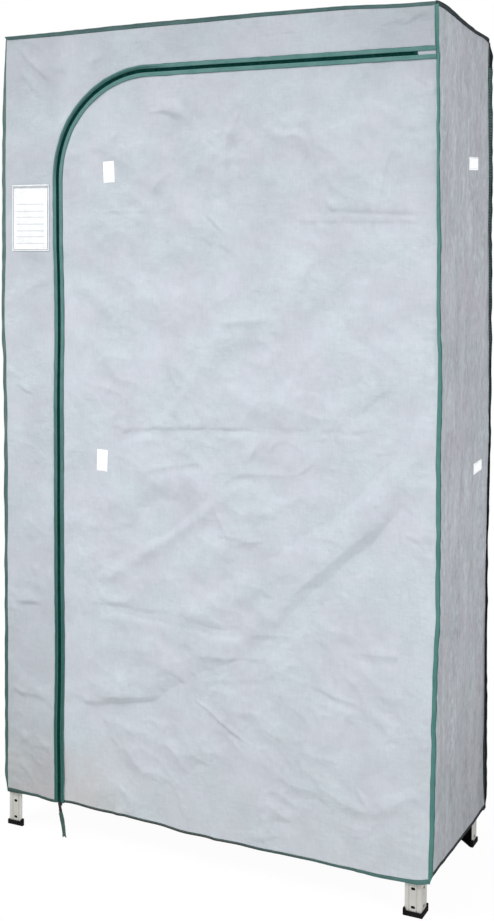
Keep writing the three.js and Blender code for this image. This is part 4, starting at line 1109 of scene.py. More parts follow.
# front, fixed part
inner, zn, zt = zip_line(0.0122, z0=0.0770, x1=0.5090, step=0.0034)
zz = inner[:, 1]
n_v = int(np.sum(inner[:, 1] < ZCZ - 1e-9))
base_line, _, _ = zip_line(0.0, z0=0.0770, x1=0.5090, step=0.0034)
n_e = int(np.sum((base_line[:, 1] >= ZCZ - 1e-9) & (base_line[:, 0] < ZCX - 1e-6)))
outer = np.zeros_like(inner)
outer[:n_v, 1] = inner[:n_v, 1]
outer[:n_v, 0] = fl_x(inner[:n_v, 1])
z_top_left = float(top_front(-0.505))
corner = (float(fl_x(1.797)), z_top_left)
ic = int(round(n_e * 0.46))
zs = np.linspace(inner[n_v, 1], corner[1], ic + 1)
outer[n_v:n_v + ic + 1, 1] = zs
outer[n_v:n_v + ic + 1, 0] = fl_x(np.minimum(zs, 1.797))
xs = np.linspace(corner[0], inner[n_v + n_e, 0], n_e - ic + 1)
outer[n_v + ic:n_v + n_e + 1, 0] = xs
outer[n_v + ic:n_v + n_e + 1, 1] = top_front(xs)
outer[n_v + n_e:, 0] = inner[n_v + n_e:, 0]
outer[n_v + n_e:, 1] = top_front(inner[n_v + n_e:, 0])
# the last columns lean out to the seam on the right
tk = np.linspace(0, 1, 48)
XZ = inner[:, None] * (1 - tk)[None, :, None] + outer[:, None] * tk[None, :, None]
grow = sstep((XZ[..., 0] - 0.40) / 0.109)
XZ[..., 0] += grow * (fr_x(np.minimum(XZ[..., 1], 1.80)) - 0.5090)
# the lower edge follows the hem
dz = hem_mid(XZ[..., 0]) - 0.0770
XZ[..., 1] += dz * sstep(1 - (XZ[..., 1] - 0.077) / 0.12) * (np.arange(len(inner)) < n_v)[:, None]
Y = surf_front(XZ[..., 0], XZ[..., 1])
P = np.stack([XZ[..., 0], Y, XZ[..., 1]], -1)
cloth_surround = panel("cloth_surround", P, (0, -1, 0), [M["front"], M["lining"]], None, None, None, None, fab=fab_of(XZ[..., 0], XZ[..., 1]))
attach(cloth_surround, "cover")
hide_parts("cover_front_surround")

# door
zr = np.concatenate([np.linspace(0.0770, ZCZ, 470, endpoint=False), ZCZ + (RZ - 0.0122) * np.sin(np.linspace(0, math.pi / 2, 92))])
xl = np.where(zr < ZCZ, zip_x(zr) + 0.0122, ZCX - (RX - 0.0122) * np.sqrt(np.clip(1 - ((zr - ZCZ) / (RZ - 0.0122)) ** 2, 0, 1)))
xr = fr_x(zr)
tc = np.linspace(0, 1, 300)
X = xl[:, None] * (1 - tc) + xr[:, None] * tc
Z = np.broadcast_to(zr[:, None], X.shape).copy()
Z += (hem_mid(X) - 0.0770) * sstep(1 - (Z - 0.077) / 0.12)
P = np.stack([X, surf_front(X, Z), Z], -1)
cloth_door = panel("cloth_door", P, (0, -1, 0), [M["front"], M["lining"]], None, None, None, None, fab=fab_of(X, Z))
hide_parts("door_panel")

# right side
side_a = Waves(41, 0.034, 20, stretch=(1.0, 3.0))
side_b = Waves(42, 0.085, 12, stretch=(1.0, 6.0))
side_c = Waves(43, 0.020, 24, stretch=(1.0, 2.2))
pk5, pk6 = Wob(51, 0.032), Wob(52, 0.030)


def side_relief(y, z, y0, y1):
    e0, e1 = y - y0, y1 - y
    calm = sstep(e0 / 0.012) * sstep(e1 / 0.012)
    top = (sstep((1.797 - z) / 0.10) * 0.75 + 0.25) * (0.12 + 0.88 * sstep((z - 0.075) / 0.11))
    r = 0.00062 * side_a(y, z) + 0.0021 * side_b(y, z) + 0.00020 * side_c(y, z) - 0.0014 * np.abs(side_b(y + 0.3, z * 1.7)) + 0.0009
    r = r * top
    r += 0.0005 * pk5(z) * np.exp(-e0 / 0.02) + 0.0004 * pk6(z) * np.exp(-e1 / 0.02)
    return r * calm


def side_bow(y, z):
    """The side stands out a little between its seams, least near the hem and the top."""
    return 0.0030 * np.sin(math.pi * (y + 0.2045) / 0.408) * sstep((z - 0.08) / 0.35) * sstep((1.80 - z) / 0.30)


def side_x(y, z):
    """The outer surface of the right side."""
    zc = np.minimum(z, 1.79)
    zhi = top_right(y)
    X = 0.5095 + (fr_x(zc) - 0.5095) * np.exp(-(y + 0.2045) / 0.045) + (br_x(zc) - 0.5095) * np.exp(-(0.2035 - y) / 0.060)
    # the sewn patches hold the cloth flat under them
    flat_a = sstep((y + 0.015) / 0.030) * sstep((0.125 - y) / 0.030) * sstep((z - 1.460) / 0.030) * sstep((1.565 - z) / 0.030)
    flat_b = sstep((y - 0.045) / 0.030) * sstep((0.180 - y) / 0.030) * sstep((z - 0.805) / 0.030) * sstep((0.920 - z) / 0.030)
    X = X + side_relief(y, z, -0.2045, 0.2035) * (1 - 0.9 * np.maximum(flat_a, flat_b)) + side_bow(y, z)
    tw = sstep((z - 1.74) / (zhi - 1.74))
    X = X * (1 - tw) + top_right_x(y) * tw
    return np.maximum(X, 0.4985)


zs = np.linspace(0, 1, 300)
ys = np.linspace(-0.2045, 0.2035, 92)
Yg, Tg = np.meshgrid(ys, zs)
zlo, zhi = hem_side(Yg), top_right(Yg)
Zg = zlo + (zhi - zlo) * Tg
Xg = side_x(Yg, Zg)
P = np.stack([Xg, Yg, Zg], -1)
cloth_right = panel("cloth_right", P, (1, 0, 0), [M["side"], M["lining"]], None, None, None, None, fab=fab_of(Yg, Zg))

# left side
side_d = Waves(61, 0.040, 18, stretch=(1.0, 14.0))
side_e = Waves(62, 0.11, 12, stretch=(1.0, 5.0))
Yg, Tg = np.meshgrid(np.linspace(-0.2005, 0.2035, 64), np.linspace(0, 1, 220))
zlo, zhi = hem_side(Yg), top_left(Yg)
Zg = zlo + (zhi - zlo) * Tg
Zc = np.minimum(Zg, 1.79)
y_edge = fl_y(Zc)
Yl = y_edge + (0.2035 - y_edge) * (Yg + 0.2005) / 0.4040
Xg = -0.5085 + (fl_x(Zc) + 0.5085) * np.exp(-(Yl - y_edge) / 0.04) + (bl_x(Zc) + 0.5085) * np.exp(-(0.2035 - Yl) / 0.04)
calm = sstep((Yl - y_edge) / 0.012) * sstep((0.2035 - Yl) / 0.012)
Xg = Xg - (0.0010 * side_d(Yl, Zg) + 0.0013 * side_e(Yl, Zg)) * calm
Xg = np.minimum(Xg, -0.4998)
P = np.stack([Xg, Yl, Zg], -1)
cloth_left = panel("cloth_left", P, (-1, 0, 0), [M["plain"], M["lining"]], None, None, None, None, fab=fab_of(Yl + 3.0, Zg))

# back
bk_a, bk_b = Waves(71, 0.30, 12), Waves(72, 0.09, 18, stretch=(1.0, 3.0))
Tx, Tz = np.meshgrid(np.linspace(0, 1, 150), np.linspace(0, 1, 220))
Zg = 0.0745 + (1.797 - 0.0745) * Tz
Zc = np.minimum(Zg, 1.79)
Xg = bl_x(Zc) + (br_x(Zc) - bl_x(Zc)) * Tx
Zg = 0.0745 + (top_back(Xg) - 0.0745) * Tz
calm = sstep((Xg + 0.507) / 0.05) * sstep((0.507 - Xg) / 0.05) * sstep((1.80 - Zg) / 0.03)
Yg = 0.2045 + (0.0016 * bk_a(Xg, Zg) + 0.0009 * bk_b(Xg, Zg) + 0.0006) * calm
Yg = np.maximum(Yg, 0.2005)
P = np.stack([Xg, Yg, Zg], -1)
cloth_back = panel("cloth_back", P, (0, 1, 0), [M["plain"], M["lining"]], None, None, None, None, fab=fab_of(Xg + 5.0, Zg))

# top
tp_a, tp_b = Waves(81, 0.16, 14), Waves(82, 0.055, 18)
Tx, Ty = np.meshgrid(np.linspace(0, 1, 170), np.linspace(0, 1, 76))
Yg = -0.2045 + 0.4080 * Ty
xL, xR = -0.5060 + 0 * Yg, top_right_x(Yg)
xL = -0.5070 + 0.001 * (Yg + 0.2045) / 0.408
Xg = xL + (xR - xL) * Tx
dx0, dx1, dy0, dy1 = Xg - xL, xR - Xg, Yg + 0.2045, 0.2035 - Yg
zc = 1.7972 + 0.0011 * (1 + tp_a(Xg, Yg)) * 0.7 + 0.0005 * (1 + tp_b(Xg, Yg)) * 0.5


def edge_pull(z, d, seam):
    up = seam > z
    w = np.where(up, sstep(1 - d / 0.055), sstep(1 - d / 0.0105))
    return z + (seam - z) * w


Zt = edge_pull(zc, dy0, top_front(Xg))
Zt = edge_pull(Zt, dy1, top_back(Xg))
Zt = edge_pull(Zt, dx0, top_left(Yg))
Zt = edge_pull(Zt, dx1, top_right(Yg))
P = np.stack([Xg, Yg, Zt], -1)
cloth_top = panel("cloth_top", P, (0, 0, 1), [M["plain"], M["lining"]], None, None, None, None, fab=fab_of(Xg + 8.0, Yg))

for ob, node in ((cloth_right, "cover_right_panel"), (cloth_left, "cover_left_panel"), (cloth_back, "cover_back_panel"), (cloth_top, "cover_top_panel")):
    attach(ob, "cover")
    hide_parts(node)

# ---------------------------------------------------------------- bindings
def stitches(bag, path, T, A, B, at, lift, pitch=0.0044, size=(0.0014, 0.00032, 0.00026), m=1, start=0.004, both=True, seed=0):
    C, (TT, AA, BB), q = at_step(path + A * at, [T, A, B], pitch, start)
    if len(C) < 2:
        return
    TT, AA, BB = unit(TT), unit(AA), unit(BB)
    rng = np.random.default_rng(900 + seed)
    j = rng.normal(0, 0.00012, len(C))
    tilt = rng.normal(0, 0.06, len(C))
    X = unit(TT + AA * tilt[:, None])
    Y = unit(np.cross(BB, X))
    for sgn in ((1, -1) if both else (1,)):
        place(bag, (CAPV, CAPQ, CAPT), C + AA * j[:, None] + BB * (lift * sgn), X, Y, BB, size, m=m,
              fab=np.stack([q, np.full(len(q), at), np.full(len(q), at)], -1))


def fin(name, path, A, width, body, node, mat, thread, thick=0.0019, root=0.0016, seed=0, mats=None, caps=True, narrow=None, rough_edge=0.035, T=None, overlock=None):
    """A binding: a folded tape sewn along a seam, that stands out from it by its width."""
    T = unit(np.gradient(path, axis=0)) if T is None else T
    A = unit(A - (A * T).sum(-1, keepdims=True) * T)
    B = unit(np.cross(T, A))
    bag = Bag()
    wob = Wob(100 + seed, 0.045)
    run = np.concatenate([[0], np.cumsum(np.linalg.norm(np.diff(path, axis=0), axis=1))])
    w = width * (1 + rough_edge * wob(run))
    if narrow is not None:
        w = w * narrow
    base = tape_section(width, thick, n=6)
    S = np.repeat(base[None], len(path), 0).copy()
    S[..., 0] = S[..., 0] * (w / width)[:, None] - root
    # the tape is a little thicker at its fold and bows across
    bow = 0.00035 * Wob(130 + seed, 0.07)(run)
    S[..., 1] = S[..., 1] + bow[:, None] * ((S[..., 0] / width) ** 2)
    sweep(bag, path, A, B, S, m=0, caps=caps)
    stitches(bag, path, T, A, B, 0.0026, thick / 2 + 0.00002, m=1, seed=seed)
    if overlock:
        # light thread laid across the tape, both faces
        C, (TT, AA, BB, Wd), q = at_step(path, [T, A, B, np.stack([w, w, w], -1)], 0.0034, 0.002)
        keep = (C[:, 2] > overlock[0]) & (C[:, 2] < overlock[1])
        C, TT, AA, BB, Wd = C[keep], unit(TT[keep]), unit(AA[keep]), unit(BB[keep]), Wd[keep][:, :1]
        for sgn in (1, -1):
            place(bag, (CAPV, CAPQ, CAPT), C + AA * (Wd * 0.40) + BB * (sgn * (thick / 2 + 0.00004)), unit(AA + TT * 0.10), TT, BB,
                  np.concatenate([Wd * 0.36, np.full_like(Wd, 0.00055), np.full_like(Wd, 0.00028)], -1), m=1)
    ob = bag.obj(name, mats or [mat, thread])
    if body:
        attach(ob, body)
    if node:
        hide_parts(node)
    return ob


def vert_path(fx, fy, z0, z1, step=0.005, seed=0):
    z = np.linspace(z0, z1, max(8, int((z1 - z0) / step)))
    w = Wob(200 + seed, 0.10)
    return np.stack([fx(z) + 0.00025 * w(z), fy(z) + 0.0002 * w(z + 3), z], -1), z


# front left: leans back a little, and is pinched in at its ends
pth, z = vert_path(fl_x, lambda q: fl_y(q) + 0.0002, 0.0760, 1.8004, seed=1)
ap = fl_in(z) - fl_out(z)
al = lean(0.0116, ap, False)
A = np.stack([-np.cos(al), -np.sin(al) * 1.0, np.zeros_like(al)], -1)
fin("binding_front_left_tape", pth, A, 0.0116, "cover", "binding_front_left", M["tape_left"], M["thread"], seed=1,
    narrow=(0.12 + 0.88 * sstep((z - 0.074) / 0.042)) * (0.34 + 0.66 * sstep((1.790 - z) / 0.13)))

# back left
pth, z = vert_path(bl_x, bl_y, 0.0650, 1.7900, seed=2)
al = np.radians(-20 + 8 * Wob(77, 0.3)(z))
A = np.stack([-np.cos(al), np.sin(al), np.zeros_like(al)], -1)
fin("binding_back_left_tape", pth, A, 0.0112, "cover", "binding_back_left", M["tape_shaded_dark"], M["thread_light"], seed=2)

# back right: folded towards the side halfway up
pth, z = vert_path(br_x, br_y, 0.0755, 1.7904, seed=3)
ap = br_out(z) - br_in(z)
al = lean(0.0112, np.maximum(ap, 0.0030), True)
A = np.stack([np.cos(al), -np.sin(al), np.zeros_like(al)], -1)
fin("binding_back_right_tape", pth, A, 0.0112, "cover", "binding_back_right", M["tape_br"], M["thread_light"], seed=3,
    narrow=(0.30 + 0.70 * sstep((z - 0.076) / 0.035)) * (0.45 + 0.55 * sstep((1.792 - z) / 0.035)), overlock=(0.90, 1.735))


# front right: the lower part turns with the door, the short upper part is fixed
def fr_dir(z):
    al = lean(0.0116, np.clip(fr_out(z) - fr_in(z), 0.0030, 0.0112), True)
    return np.stack([np.cos(al), -np.sin(al), np.zeros_like(al)], -1)


pth, z = vert_path(fr_x, fr_y, 0.0760, 1.7076, seed=4)
fin("hinge_binding_tape", pth, fr_dir(z), 0.0116, "hinge_seam", "hinge_binding", M["tape"], M["thread"], seed=4,
    narrow=0.30 + 0.70 * sstep((z - 0.074) / 0.026))
pth, z = vert_path(fr_x, fr_y, 1.7080, 1.8022, seed=5)
fin("binding_front_right_upper_tape", pth, fr_dir(z), 0.0112, "cover", "binding_front_right_upper", M["tape"], M["thread"], seed=5, root=0.0040)

# round the top
xf = np.linspace(float(fl_x(1.797)) - 0.0020, float(top_right_x(-0.2045)), 210)
F = np.stack([xf, np.full_like(xf, -0.2050), top_front(xf)], -1)
yr_ = np.linspace(-0.2045, 0.2035, 90)[1:]
R_ = np.stack([top_right_x(yr_), yr_, top_right(yr_)], -1)
xb = np.linspace(float(top_right_x(0.2035)), -0.5060, 200)[1:]
K_ = np.stack([xb, np.full_like(xb, 0.2040), top_back(xb)], -1)
yl_ = np.linspace(0.2035, -0.2045, 90)[1:-1]
L_ = np.stack([-0.5060 - 0.001 * (0.2035 - yl_) / 0.408, yl_, top_left(yl_)], -1)


def fin_dirs(pts, outv, elev):
    e = np.radians(elev)
    o = np.asarray(outv, float)[None] * np.cos(e)[:, None]
    o[:, 2] = np.sin(e)
    return o


eF = 62 + 2.5 * Wob(301, 0.30)(xf) - 18 * sstep((-0.44 - xf) / 0.06)
tR = (yr_ + 0.2045) / 0.408
eR = 64 - 50 * sstep(tR / 0.45) + 2.5 * Wob(302, 0.12)(yr_)
eK = np.full(len(xb), 25.0) + 5 * Wob(303, 0.2)(xb)
eL = 30 + 25 * sstep((0.05 - yl_) / 0.25)
AF, AR, AK, AL = fin_dirs(F, (0, -1, 0), eF), fin_dirs(R_, (1, 0, 0), eR), fin_dirs(K_, (0, 1, 0), eK), fin_dirs(L_, (-1, 0, 0), eL)
ring = np.concatenate([F, R_, K_, L_])
dirs = np.concatenate([AF, AR, AK, AL])


def loop_smooth(a, n):
    k = np.exp(-0.5 * (np.arange(-3 * n, 3 * n + 1) / n) ** 2)
    k /= k.sum()
    p = np.concatenate([a[-3 * n:], a, a[:3 * n]])
    return np.stack([np.convolve(p[:, i], k, 'valid') for i in range(a.shape[1])], -1)


dirs = unit(loop_smooth(dirs, 2))
ring_s = loop_smooth(ring, 1)
tang = unit(np.roll(ring_s, -1, 0) - np.roll(ring_s, 1, 0))
nF = len(F)


def ring_part(name, i0, i1, mat, thread, width, node=None, seed=0, narrow=None):
    """A run of the binding round the top; the runs meet end to end."""
    idx = np.arange(i0, i1 + 1) % len(ring_s)
    pth = resample(ring_s[idx], 0.005)
    s0 = np.concatenate([[0], np.cumsum(np.linalg.norm(np.diff(ring_s[idx], axis=0), axis=1))])
    s1 = np.linspace(0, s0[-1], len(pth))
    A = unit(np.stack([np.interp(s1, s0, dirs[idx][:, i]) for i in range(3)], -1))
    Tn = unit(np.stack([np.interp(s1, s0, tang[idx][:, i]) for i in range(3)], -1))
    return fin(name, pth, A, width, "cover", node, mat, thread, seed=seed, narrow=None if narrow is None else narrow(s1), rough_edge=0.012, T=Tn)


top_f = ring_part("binding_top_front_tape", 0, nF - 1, M["tape_top"], M["thread"], 0.0105, node="binding_top", seed=6,
                  narrow=lambda s: 0.86 + 0.14 * sstep(s / 0.30) - 0.20 * sstep((s - 0.50) / 0.25))
top_s = ring_part("binding_top_sides_tape", nF - 1, len(ring_s), M["tape_ring_shaded"], M["thread_shaded_dark"], 0.0098, seed=7,
                  narrow=lambda s: 1 - 0.68 * np.exp(-((s - 0.410) / 0.022) ** 2))
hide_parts("binding_top")


# hem: the tape folded round the lower edge
def hem_band(name, path, out, width, thick, mat, thread, seed=0):
    T = unit(np.gradient(path, axis=0))
    Z = np.broadcast_to(np.array([0, 0, 1.0]), path.shape)
    A = unit(Z - (Z * T).sum(-1, keepdims=True) * T)
    B = unit(out - (out * T).sum(-1, keepdims=True) * T - (out * A).sum(-1, keepdims=True) * A)
    S = np.repeat(tape_section(1.0, thick, n=5)[None], len(path), 0).copy()
    S[..., 0] = (S[..., 0] - 0.5) * np.asarray(width).reshape(-1, 1)
    bag = Bag()
    sweep(bag, path, A, B, S, m=0)
    stitches(bag, path, T, A, B, float(np.mean(width)) * 0.5 - 0.0016, thick / 2, m=1, seed=seed)
    return bag.obj(name, [mat, thread])


def hem_front(x):
    y = surf_front(x, hem_mid(x) + 0.002)
    return np.stack([x, y + 0.00045, hem_mid(x)], -1)


x = np.linspace(float(fl_x(0.08)) + 0.0006, ZX0 - 0.0060, 40)
wid = 0.0060 + 0.0030 * sstep((-0.445 - x) / 0.03)
h1 = hem_front(x)
hem_fixed = hem_band("hem_front_tape", h1, np.broadcast_to(np.array([0, -1.0, 0]), h1.shape), wid, 0.0023, M["tape_hem"], M["thread"], seed=11)
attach(hem_fixed, "cover")
x = np.linspace(ZX0 + 0.0060, float(fr_x(0.08)) - 0.0010, 215)
h2 = hem_front(x)
hem_door = hem_band("hem_door_tape", h2, np.broadcast_to(np.array([0, -1.0, 0]), h2.shape), 0.0054 + 0.0022 * sstep((x - 0.30) / 0.15) + 0.0018 * sstep((x - 0.46) / 0.03), 0.0023, M["tape_hem_door"], M["thread"], seed=12)
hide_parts("door_hem_binding")


def side_edge_x(y):
    z = hem_side(y)
    X = 0.5095 + (fr_x(z) - 0.5095) * np.exp(-(y + 0.2045) / 0.045) + (br_x(z) - 0.5095) * np.exp(-(0.2035 - y) / 0.060)
    return X + side_relief(y, z, -0.2045, 0.2035) + side_bow(y, z)


y = np.linspace(-0.2035, 0.2035, 90)
hs = np.stack([side_edge_x(y) - 0.0004, y, hem_side(y) + 0.0008], -1)
hem_right = hem_band("hem_right_tape", hs, np.broadcast_to(np.array([1.0, 0, 0]), hs.shape), np.full(len(y), 0.0072), 0.0021, M["tape_shaded_black"], M["thread_shaded_dark"], seed=13)
yl = np.linspace(0.2035, float(fl_y(0.08)), 80)
xl_ = -0.5085 + (fl_x(np.full_like(yl, 0.08)) + 0.5085) * np.exp(-(yl - fl_y(0.08)) / 0.04) + (bl_x(np.full_like(yl, 0.08)) + 0.5085) * np.exp(-(0.2035 - yl) / 0.04)
xl_ -= (0.0010 * side_d(yl, np.full_like(yl, 0.075)) + 0.0013 * side_e(yl, np.full_like(yl, 0.075))) * sstep((yl - fl_y(0.08)) / 0.012) * sstep((0.2035 - yl) / 0.012)
hl = np.stack([np.minimum(xl_, -0.4998) + 0.0004, yl, hem_side(yl)], -1)
hem_left = hem_band("hem_left_tape", hl, np.broadcast_to(np.array([-1.0, 0, 0]), hl.shape), np.full(len(yl), 0.0074), 0.0023, M["tape_shaded_dark"], M["thread"], seed=14)
xb_ = np.linspace(float(br_x(0.08)) - 0.0008, float(bl_x(0.08)) + 0.0008, 170)
zb_ = np.full_like(xb_, 0.0745)
calm = sstep((xb_ + 0.507) / 0.05) * sstep((0.507 - xb_) / 0.05)
yb_ = np.maximum(0.2045 + (0.0016 * bk_a(xb_, zb_) + 0.0009 * bk_b(xb_, zb_) + 0.0006) * calm, 0.2005)
hb_ = np.stack([xb_, yb_ - 0.0004, zb_], -1)
hem_back = hem_band("hem_back_tape", hb_, np.broadcast_to(np.array([0, 1.0, 0]), hb_.shape), np.full(len(xb_), 0.0074), 0.0023, M["tape_shaded_dark"], M["thread"], seed=15)
for ob in (hem_right, hem_left, hem_back):
    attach(ob, "cover")
for ob in (hem_fixed, hem_right, hem_left, hem_back):
    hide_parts("hem_binding")

# ---------------------------------------------------------------- zip
def on_front(xz, off):
    """Points on the front's surface at (x, z), lifted by off."""
    return np.stack([xz[:, 0], y_front(xz[:, 0], xz[:, 1]) - off, xz[:, 1]], -1)


def zip_strip(name, sgn, x1, seed):
    """The raised tape beside the chain: folded, with a row of stitches near each edge."""
    line, n2, t2 = zip_line(0.0037 * sgn, z0=0.0790, x1=x1, step=0.005)
    pth = on_front(line, 0.0007)
    A = np.stack([n2[:, 0], np.zeros(len(n2)), n2[:, 1]], -1) * sgn
    T = unit(np.gradient(pth, axis=0))
    A = unit(A - (A * T).sum(-1, keepdims=True) * T)
    B = unit(np.cross(T, A))
    if B[:, 1].mean() > 0:
        B = -B
    sec = tape_section(0.0094, 0.0017, n=7)
    # a shallow channel along the outer stitches
    dip = np.exp(-((sec[:, 0] - 0.0078) / 0.0007) ** 2) * 0.00030
    sec[:, 1] = np.where(sec[:, 1] > 0, sec[:, 1] - dip, sec[:, 1])
    bag = Bag()
    S = np.repeat(sec[None], len(pth), 0).copy()
    run = np.concatenate([[0], np.cumsum(np.linalg.norm(np.diff(pth, axis=0), axis=1))])
    S[..., 0] *= (1 + 0.02 * Wob(400 + seed, 0.05)(run))[:, None]
    sweep(bag, pth, A, B, S, m=0)
    stitches(bag, pth, T, A, B, 0.0078, 0.00066, m=1, both=False, seed=seed)
    stitches(bag, pth, T, A, B, 0.0020, 0.00092, m=1, both=False, seed=seed + 1)
    return bag.obj(name, [M["tape_zip_fixed" if sgn > 0 else "tape_zip"], M["thread"]])


strip_fixed = zip_strip("zip_strip_fixed", 1, 0.5108, 21)
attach(strip_fixed, "cover")
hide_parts("zip_tape_fixed")
strip_door = zip_strip("zip_strip_door", -1, 0.5104, 23)
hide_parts("zip_tape_door")


def tooth():
    """One turn of the coil's head: a rounded block with a swollen nose towards the other row."""
    xs = np.array([-1.0, -0.9, -0.45, 0.25, 0.62, 0.92, 1.0])
    ry = np.array([0.55, 0.75, 0.80, 0.80, 1.0, 0.85, 0.45])
    rz = np.array([0.55, 0.85, 1.0, 1.0, 1.0, 0.85, 0.45])
    seg = 8
    a = np.arange(seg) * 2 * math.pi / seg + math.pi / 8
    V = np.stack([np.repeat(xs, seg), np.outer(ry, np.cos(a)).ravel(), np.outer(rz, np.sin(a)).ravel()], -1)
    q = gq(len(xs), seg, 0, flip=False, closed=True)
    tri = []
    for e, fl in ((0, False), (len(xs) - 1, True)):
        for i in range(1, seg - 1):
            t = [e * seg, e * seg + i, e * seg + i + 1]
            tri.append(t if fl else t[::-1])
    return V, q, np.array(tri)


TOOTH = tooth()


def zip_row(name, sgn, x1, phase):
    """One row of the zip's coil with the dark cord edge that it is sewn to."""
    line, n2, t2 = zip_line(0.0019 * sgn, z0=0.0800, x1=x1, step=0.004)
    pth = on_front(line, 0.0002)
    N3 = np.stack([n2[:, 0], np.zeros(len(n2)), n2[:, 1]], -1) * sgn
    T = unit(np.gradient(pth, axis=0))
    A = unit(N3 - (N3 * T).sum(-1, keepdims=True) * T)
    B = unit(np.cross(T, A))
    if B[:, 1].mean() > 0:
        B = -B
    bag = Bag()
    # the cord edge of the fixed row reaches behind that of the door's row
    sec = tape_section(0.0053 if sgn > 0 else 0.0048, 0.0007, n=4)
    sec[:, 0] -= 0.0023 if sgn > 0 else 0.0018
    sweep(bag, pth - B * (0.0010 if sgn > 0 else 0.0), A, B, sec, m=0)
    C, (TT, AA, BB), q = at_step(pth - B * -0.0007, [T, A, B], 0.0025, 0.0012 + phase)
    TT, AA, BB = unit(TT), unit(AA), unit(BB)
    sz = np.tile([0.00175, 0.00082, 0.00078], (len(C), 1))
    place(bag, TOOTH, C - AA * 0.00035, -AA, TT, BB, sz, m=0, fab=np.stack([q, q * 0, q * 0], -1))
    return bag.obj(name, [M["coil"]])


row_fixed = zip_row("zip_coil_fixed", 1, 0.466, 0.0)
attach(row_fixed, "cover")
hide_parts("zip_chain_fixed")
row_door = zip_row("zip_coil_door", -1, 0.466, 0.00125)
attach(row_door, "door")
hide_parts("zip_chain_door")


def round_plate(bag, outline, y0, y1, r, m=0, frame_=None, steps=3):
    """A plate of that outline (x, z) from y0 (front) to y1, with rounded edges of radius r."""
    o = np.asarray(outline, float)
    n = len(o)
    area = 0.5 * np.sum(o[:, 0] * np.roll(o[:, 1], -1) - np.roll(o[:, 0], -1) * o[:, 1])
    if area < 0:
        o = o[::-1]
    e = unit(np.roll(o, -1, 0) - o)
    nrm = np.stack([e[:, 1], -e[:, 0]], -1)
    vn = unit(nrm + np.roll(nrm, 1, 0))
    vn = vn / np.maximum((vn * nrm).sum(-1, keepdims=True), 0.5)
    rings = []
    for k in range(steps + 1):
        a = math.pi / 2 * k / steps
        rings.append((o - vn * r * (1 - math.sin(a)), y0 + r * (1 - math.cos(a))))
    for k in range(steps + 1):
        a = math.pi / 2 * k / steps
        rings.append((o - vn * r * (1 - math.cos(a)), y1 - r * (1 - math.sin(a))))
    V = []
    for q, y in rings:
        V.append(np.stack([q[:, 0], np.full(n, y), q[:, 1]], -1))
    V = np.array(V)
    k = len(rings)
    c0, c1 = V[0].mean(0), V[-1].mean(0)
    pts = np.concatenate([V.reshape(-1, 3), c0[None], c1[None]])
    # e1 runs round the outline, e2 away from the viewer
    q = gq(k, n, 0, flip=True, closed=True)
    j = np.arange(n)
    t0 = np.stack([j, (j + 1) % n, np.full(n, k * n)], -1)
    t1 = np.stack([(k - 1) * n + (j + 1) % n, (k - 1) * n + j, np.full(n, k * n + 1)], -1)
    if frame_ is not None:
        pts = frame_(pts)
    bag.add(pts, quads=q, tris=np.concatenate([t0, t1]), fab=pts[:, [0, 2, 1]], m=m)


def rr(x0, x1, z0, z1, r, n=4):
    """Rounded rectangle outline."""
    out = []
    for cx, cz, a0 in ((x1 - r, z1 - r, 0), (x0 + r, z1 - r, 90), (x0 + r, z0 + r, 180), (x1 - r, z0 + r, 270)):
        for k in range(n + 1):
            a = math.radians(a0 + 90 * k / n)
            out.append((cx + r * math.cos(a), cz + r * math.sin(a)))
    return np.array(out)


TH = math.atan2(ZX0 - ZX1, ZCZ - 0.077)


def leaned(p):
    """From the slider's own upright frame, about the zip's foot, to its place on the leaning run."""
    u, w = p[:, 0], p[:, 2]
    return np.stack([ZX0 + u * math.cos(TH) - w * math.sin(TH), p[:, 1], 0.077 + u * math.sin(TH) + w * math.cos(TH)], -1)


bag = Bag()
body = []
for a, hw in ((-1.0, .42), (-0.86, .62), (-0.55, .86), (-0.1, .96), (0.35, 1.0), (0.72, .96), (0.90, .80), (1.0, .55)):
    body.append((hw * 0.0050, a * 0.0092 + 0.0036))
outl = np.array(body + [(-p, q) for p, q in body[::-1]])
round_plate(bag, outl, -0.2078, -0.2060, 0.0007, frame_=leaned)
round_plate(bag, outl, -0.2032, -0.2018, 0.0006, frame_=leaned)
round_plate(bag, rr(-0.0011, 0.0011, 0.0030, 0.0100, 0.0008), -0.2065, -0.2025, 0.0003, frame_=leaned)
for e in (-1, 1):
    round_plate(bag, rr(e * 0.0044 - 0.0006, e * 0.0044 + 0.0006, -0.0060, 0.0075, 0.0005), -0.2068, -0.2048, 0.0003, frame_=leaned)
# the bridge that holds the pull: a small arch over the front plate
arch = []
for k in range(13):
    a = math.pi * k / 12
    arch.append((0.0, -0.2073 - 0.0030 * math.sin(a), 0.0030 + 0.0046 * math.cos(a)))
arch = np.array(arch)
T = unit(np.gradient(arch, axis=0))
Aa = np.broadcast_to(np.array([1.0, 0, 0]), arch.shape)
Ba = unit(np.cross(T, Aa))
tmp = Bag()
ang = np.linspace(0, 2 * math.pi, 11)[:-1]
sweep(tmp, arch, Aa, Ba, np.stack([0.0011 * np.cos(ang), 0.00065 * np.sin(ang)], -1))
Vt = leaned(np.concatenate(tmp.v))
bag.add(Vt, quads=np.concatenate(tmp.q), tris=np.concatenate(tmp.t), fab=np.concatenate(tmp.f), m=0)
slider = bag.obj("zip_slider", [M["enamel"]], sharp=60)
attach(slider, "zip_slider")
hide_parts("zip_slider_body")
